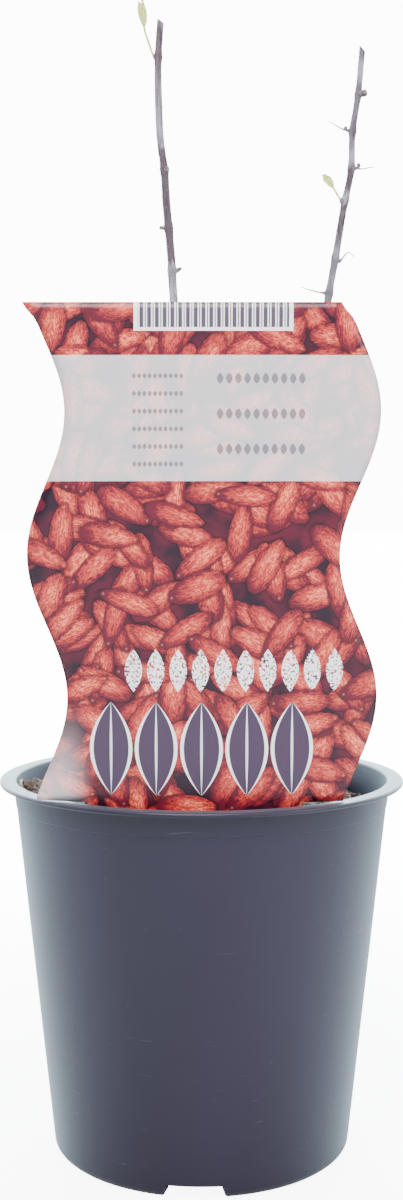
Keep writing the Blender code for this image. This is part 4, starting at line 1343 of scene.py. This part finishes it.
def print_finish():
    """The printed front under its clear coat, with each ink laid over the one before."""
    made = plain_finish("fruit_print", FRUIT_RED, 0.45, **CARD_GLOSS)
    tree = made.node_tree
    place = object_place(tree)
    axes = add_node(tree, "SeparateXYZ", {0: place}).node.outputs
    x, z = axes["X"], axes["Z"]
    flat = add_node(tree, "CombineXYZ", {"X": x, "Y": z})
    ground = ramp(tree, noise(tree, place, *GROUND_NOISE), *GROUND_EDGE)
    colour = mix_colours(tree, ground, PRINT_DARK, FRUIT_DEEP)
    layer = fruit_layer_group()
    for turn_by, layer_seed in FRUIT_LAYERS:
        node = tree.nodes.new("ShaderNodeGroup")
        node.node_tree = layer
        tree.links.new(flat, node.inputs["Place"])
        tree.links.new(colour, node.inputs["Below"])
        node.inputs["Turn"].default_value = turn_by
        node.inputs["Seed"].default_value = layer_seed
        colour = node.outputs["Colour"]

    def printed(box, edge, field, ink, below, tone=1.0):
        """An ink inside a box, where a field is within an edge."""
        share = calc(tree, "MULTIPLY", ramp(tree, field, *edge), box)
        return mix_colours(tree, calc(tree, "MULTIPLY", share, tone), below, ink)

    bleach = ramp(tree, z, *BLEACH_UP)
    colour = printed(bleach, BLEACH_ACROSS, x, PRINT_PALE, colour, BLEACH_TONE)

    big = leaf_row(tree, x, z, *BIG_LEAVES)
    big_box = box_mask(tree, x, z, *BIG_BOX)
    colour = printed(big_box, BIG_RIM, big, PRINT_PALE, colour)
    colour = printed(big_box, BIG_BODY, big, PRINT_PURPLE, colour)
    colour = printed(big_box, BIG_RIB, big, PRINT_PALE, colour)

    worn = ramp(tree, noise(tree, place, *WEAR_NOISE), *WEAR_EDGE)
    worn_box = calc(tree, "MULTIPLY", box_mask(tree, x, z, *SMALL_BOX), worn)
    colour = printed(worn_box, SMALL_BODY, leaf_row(tree, x, z, *SMALL_LEAVES), PRINT_PALE, colour)

    band = calc(tree, "MULTIPLY", box_mask(tree, x, z, *BAND_BOX), BAND_TONE)
    colour = mix_colours(tree, band, colour, PRINT_PALE)
    for left, right, lowest, count, tall, pitch in MARK_BLOCKS:
        for bottom in lowest + MARK_SPREAD / count * np.arange(count):
            marks = leaf_row(tree, x, z, left, pitch, float(bottom), tall, MARK_FULLNESS)
            mark_box = box_mask(tree, x, z, left, right, float(bottom), float(bottom) + tall)
            colour = printed(mark_box, MARK_BODY, marks, PRINT_INK, colour)

    colour = mix_colours(tree, box_mask(tree, x, z, *STRIP_BOX), colour, PRINT_PALE)
    phase = calc(tree, "FRACT", calc(tree, "DIVIDE", x, BAR_PITCH))
    thin = calc(tree, "MULTIPLY", ramp(tree, phase, *THIN_BAR_START), ramp(tree, phase, *THIN_BAR_END))
    either = calc(tree, "MAXIMUM", ramp(tree, phase, *THICK_BAR), thin)
    bars = calc(tree, "MULTIPLY", either, box_mask(tree, x, z, *BARS_BOX))
    colour = mix_colours(tree, bars, colour, PRINT_INK)

    sheen = calc(tree, "MULTIPLY_ADD", noise(tree, place, *SHEEN_NOISE), *SHEEN_SPREAD)
    feed(made, Base_Color=colour, Roughness=sheen)
    return made


def stock_finish(name, colour):
    """Plain coated stock with a faint cloudy tone."""
    shade = (*(STOCK_SHADE * channel for channel in colour[:3]), 1.0)
    return grained_finish(name, (colour, shade), *STOCK_GRAIN)


sheet_points, sheet_keep = card_points()
card = grid_piece("card_sheet", sheet_points, print_finish(), wrap=False, sharp=60)
body = bmesh.new()
body.from_mesh(card.data)
body.verts.ensure_lookup_table()
beside_tongue = np.flatnonzero(~np.broadcast_to(sheet_keep, sheet_points.shape[:2]))
loose = [body.verts[index] for index in beside_tongue]
bmesh.ops.delete(body, geom=loose, context="VERTS")
if sum(face.normal.y for face in body.faces) > 0:
    bmesh.ops.reverse_faces(body, faces=body.faces)
body.to_mesh(card.data)
body.free()
card.data.materials.append(stock_finish("card_back", BACK_WHITE))
card.data.materials.append(stock_finish("card_edge", EDGE_WHITE))
solid = card.modifiers.new("thickness", "SOLIDIFY")
solid.thickness = CARD_THICKNESS
solid.offset = 0.0
solid.use_even_offset = True
solid.material_offset = 1
solid.material_offset_rim = 2
apply_modifiers(card)
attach(card, "root")
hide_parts("label_card")
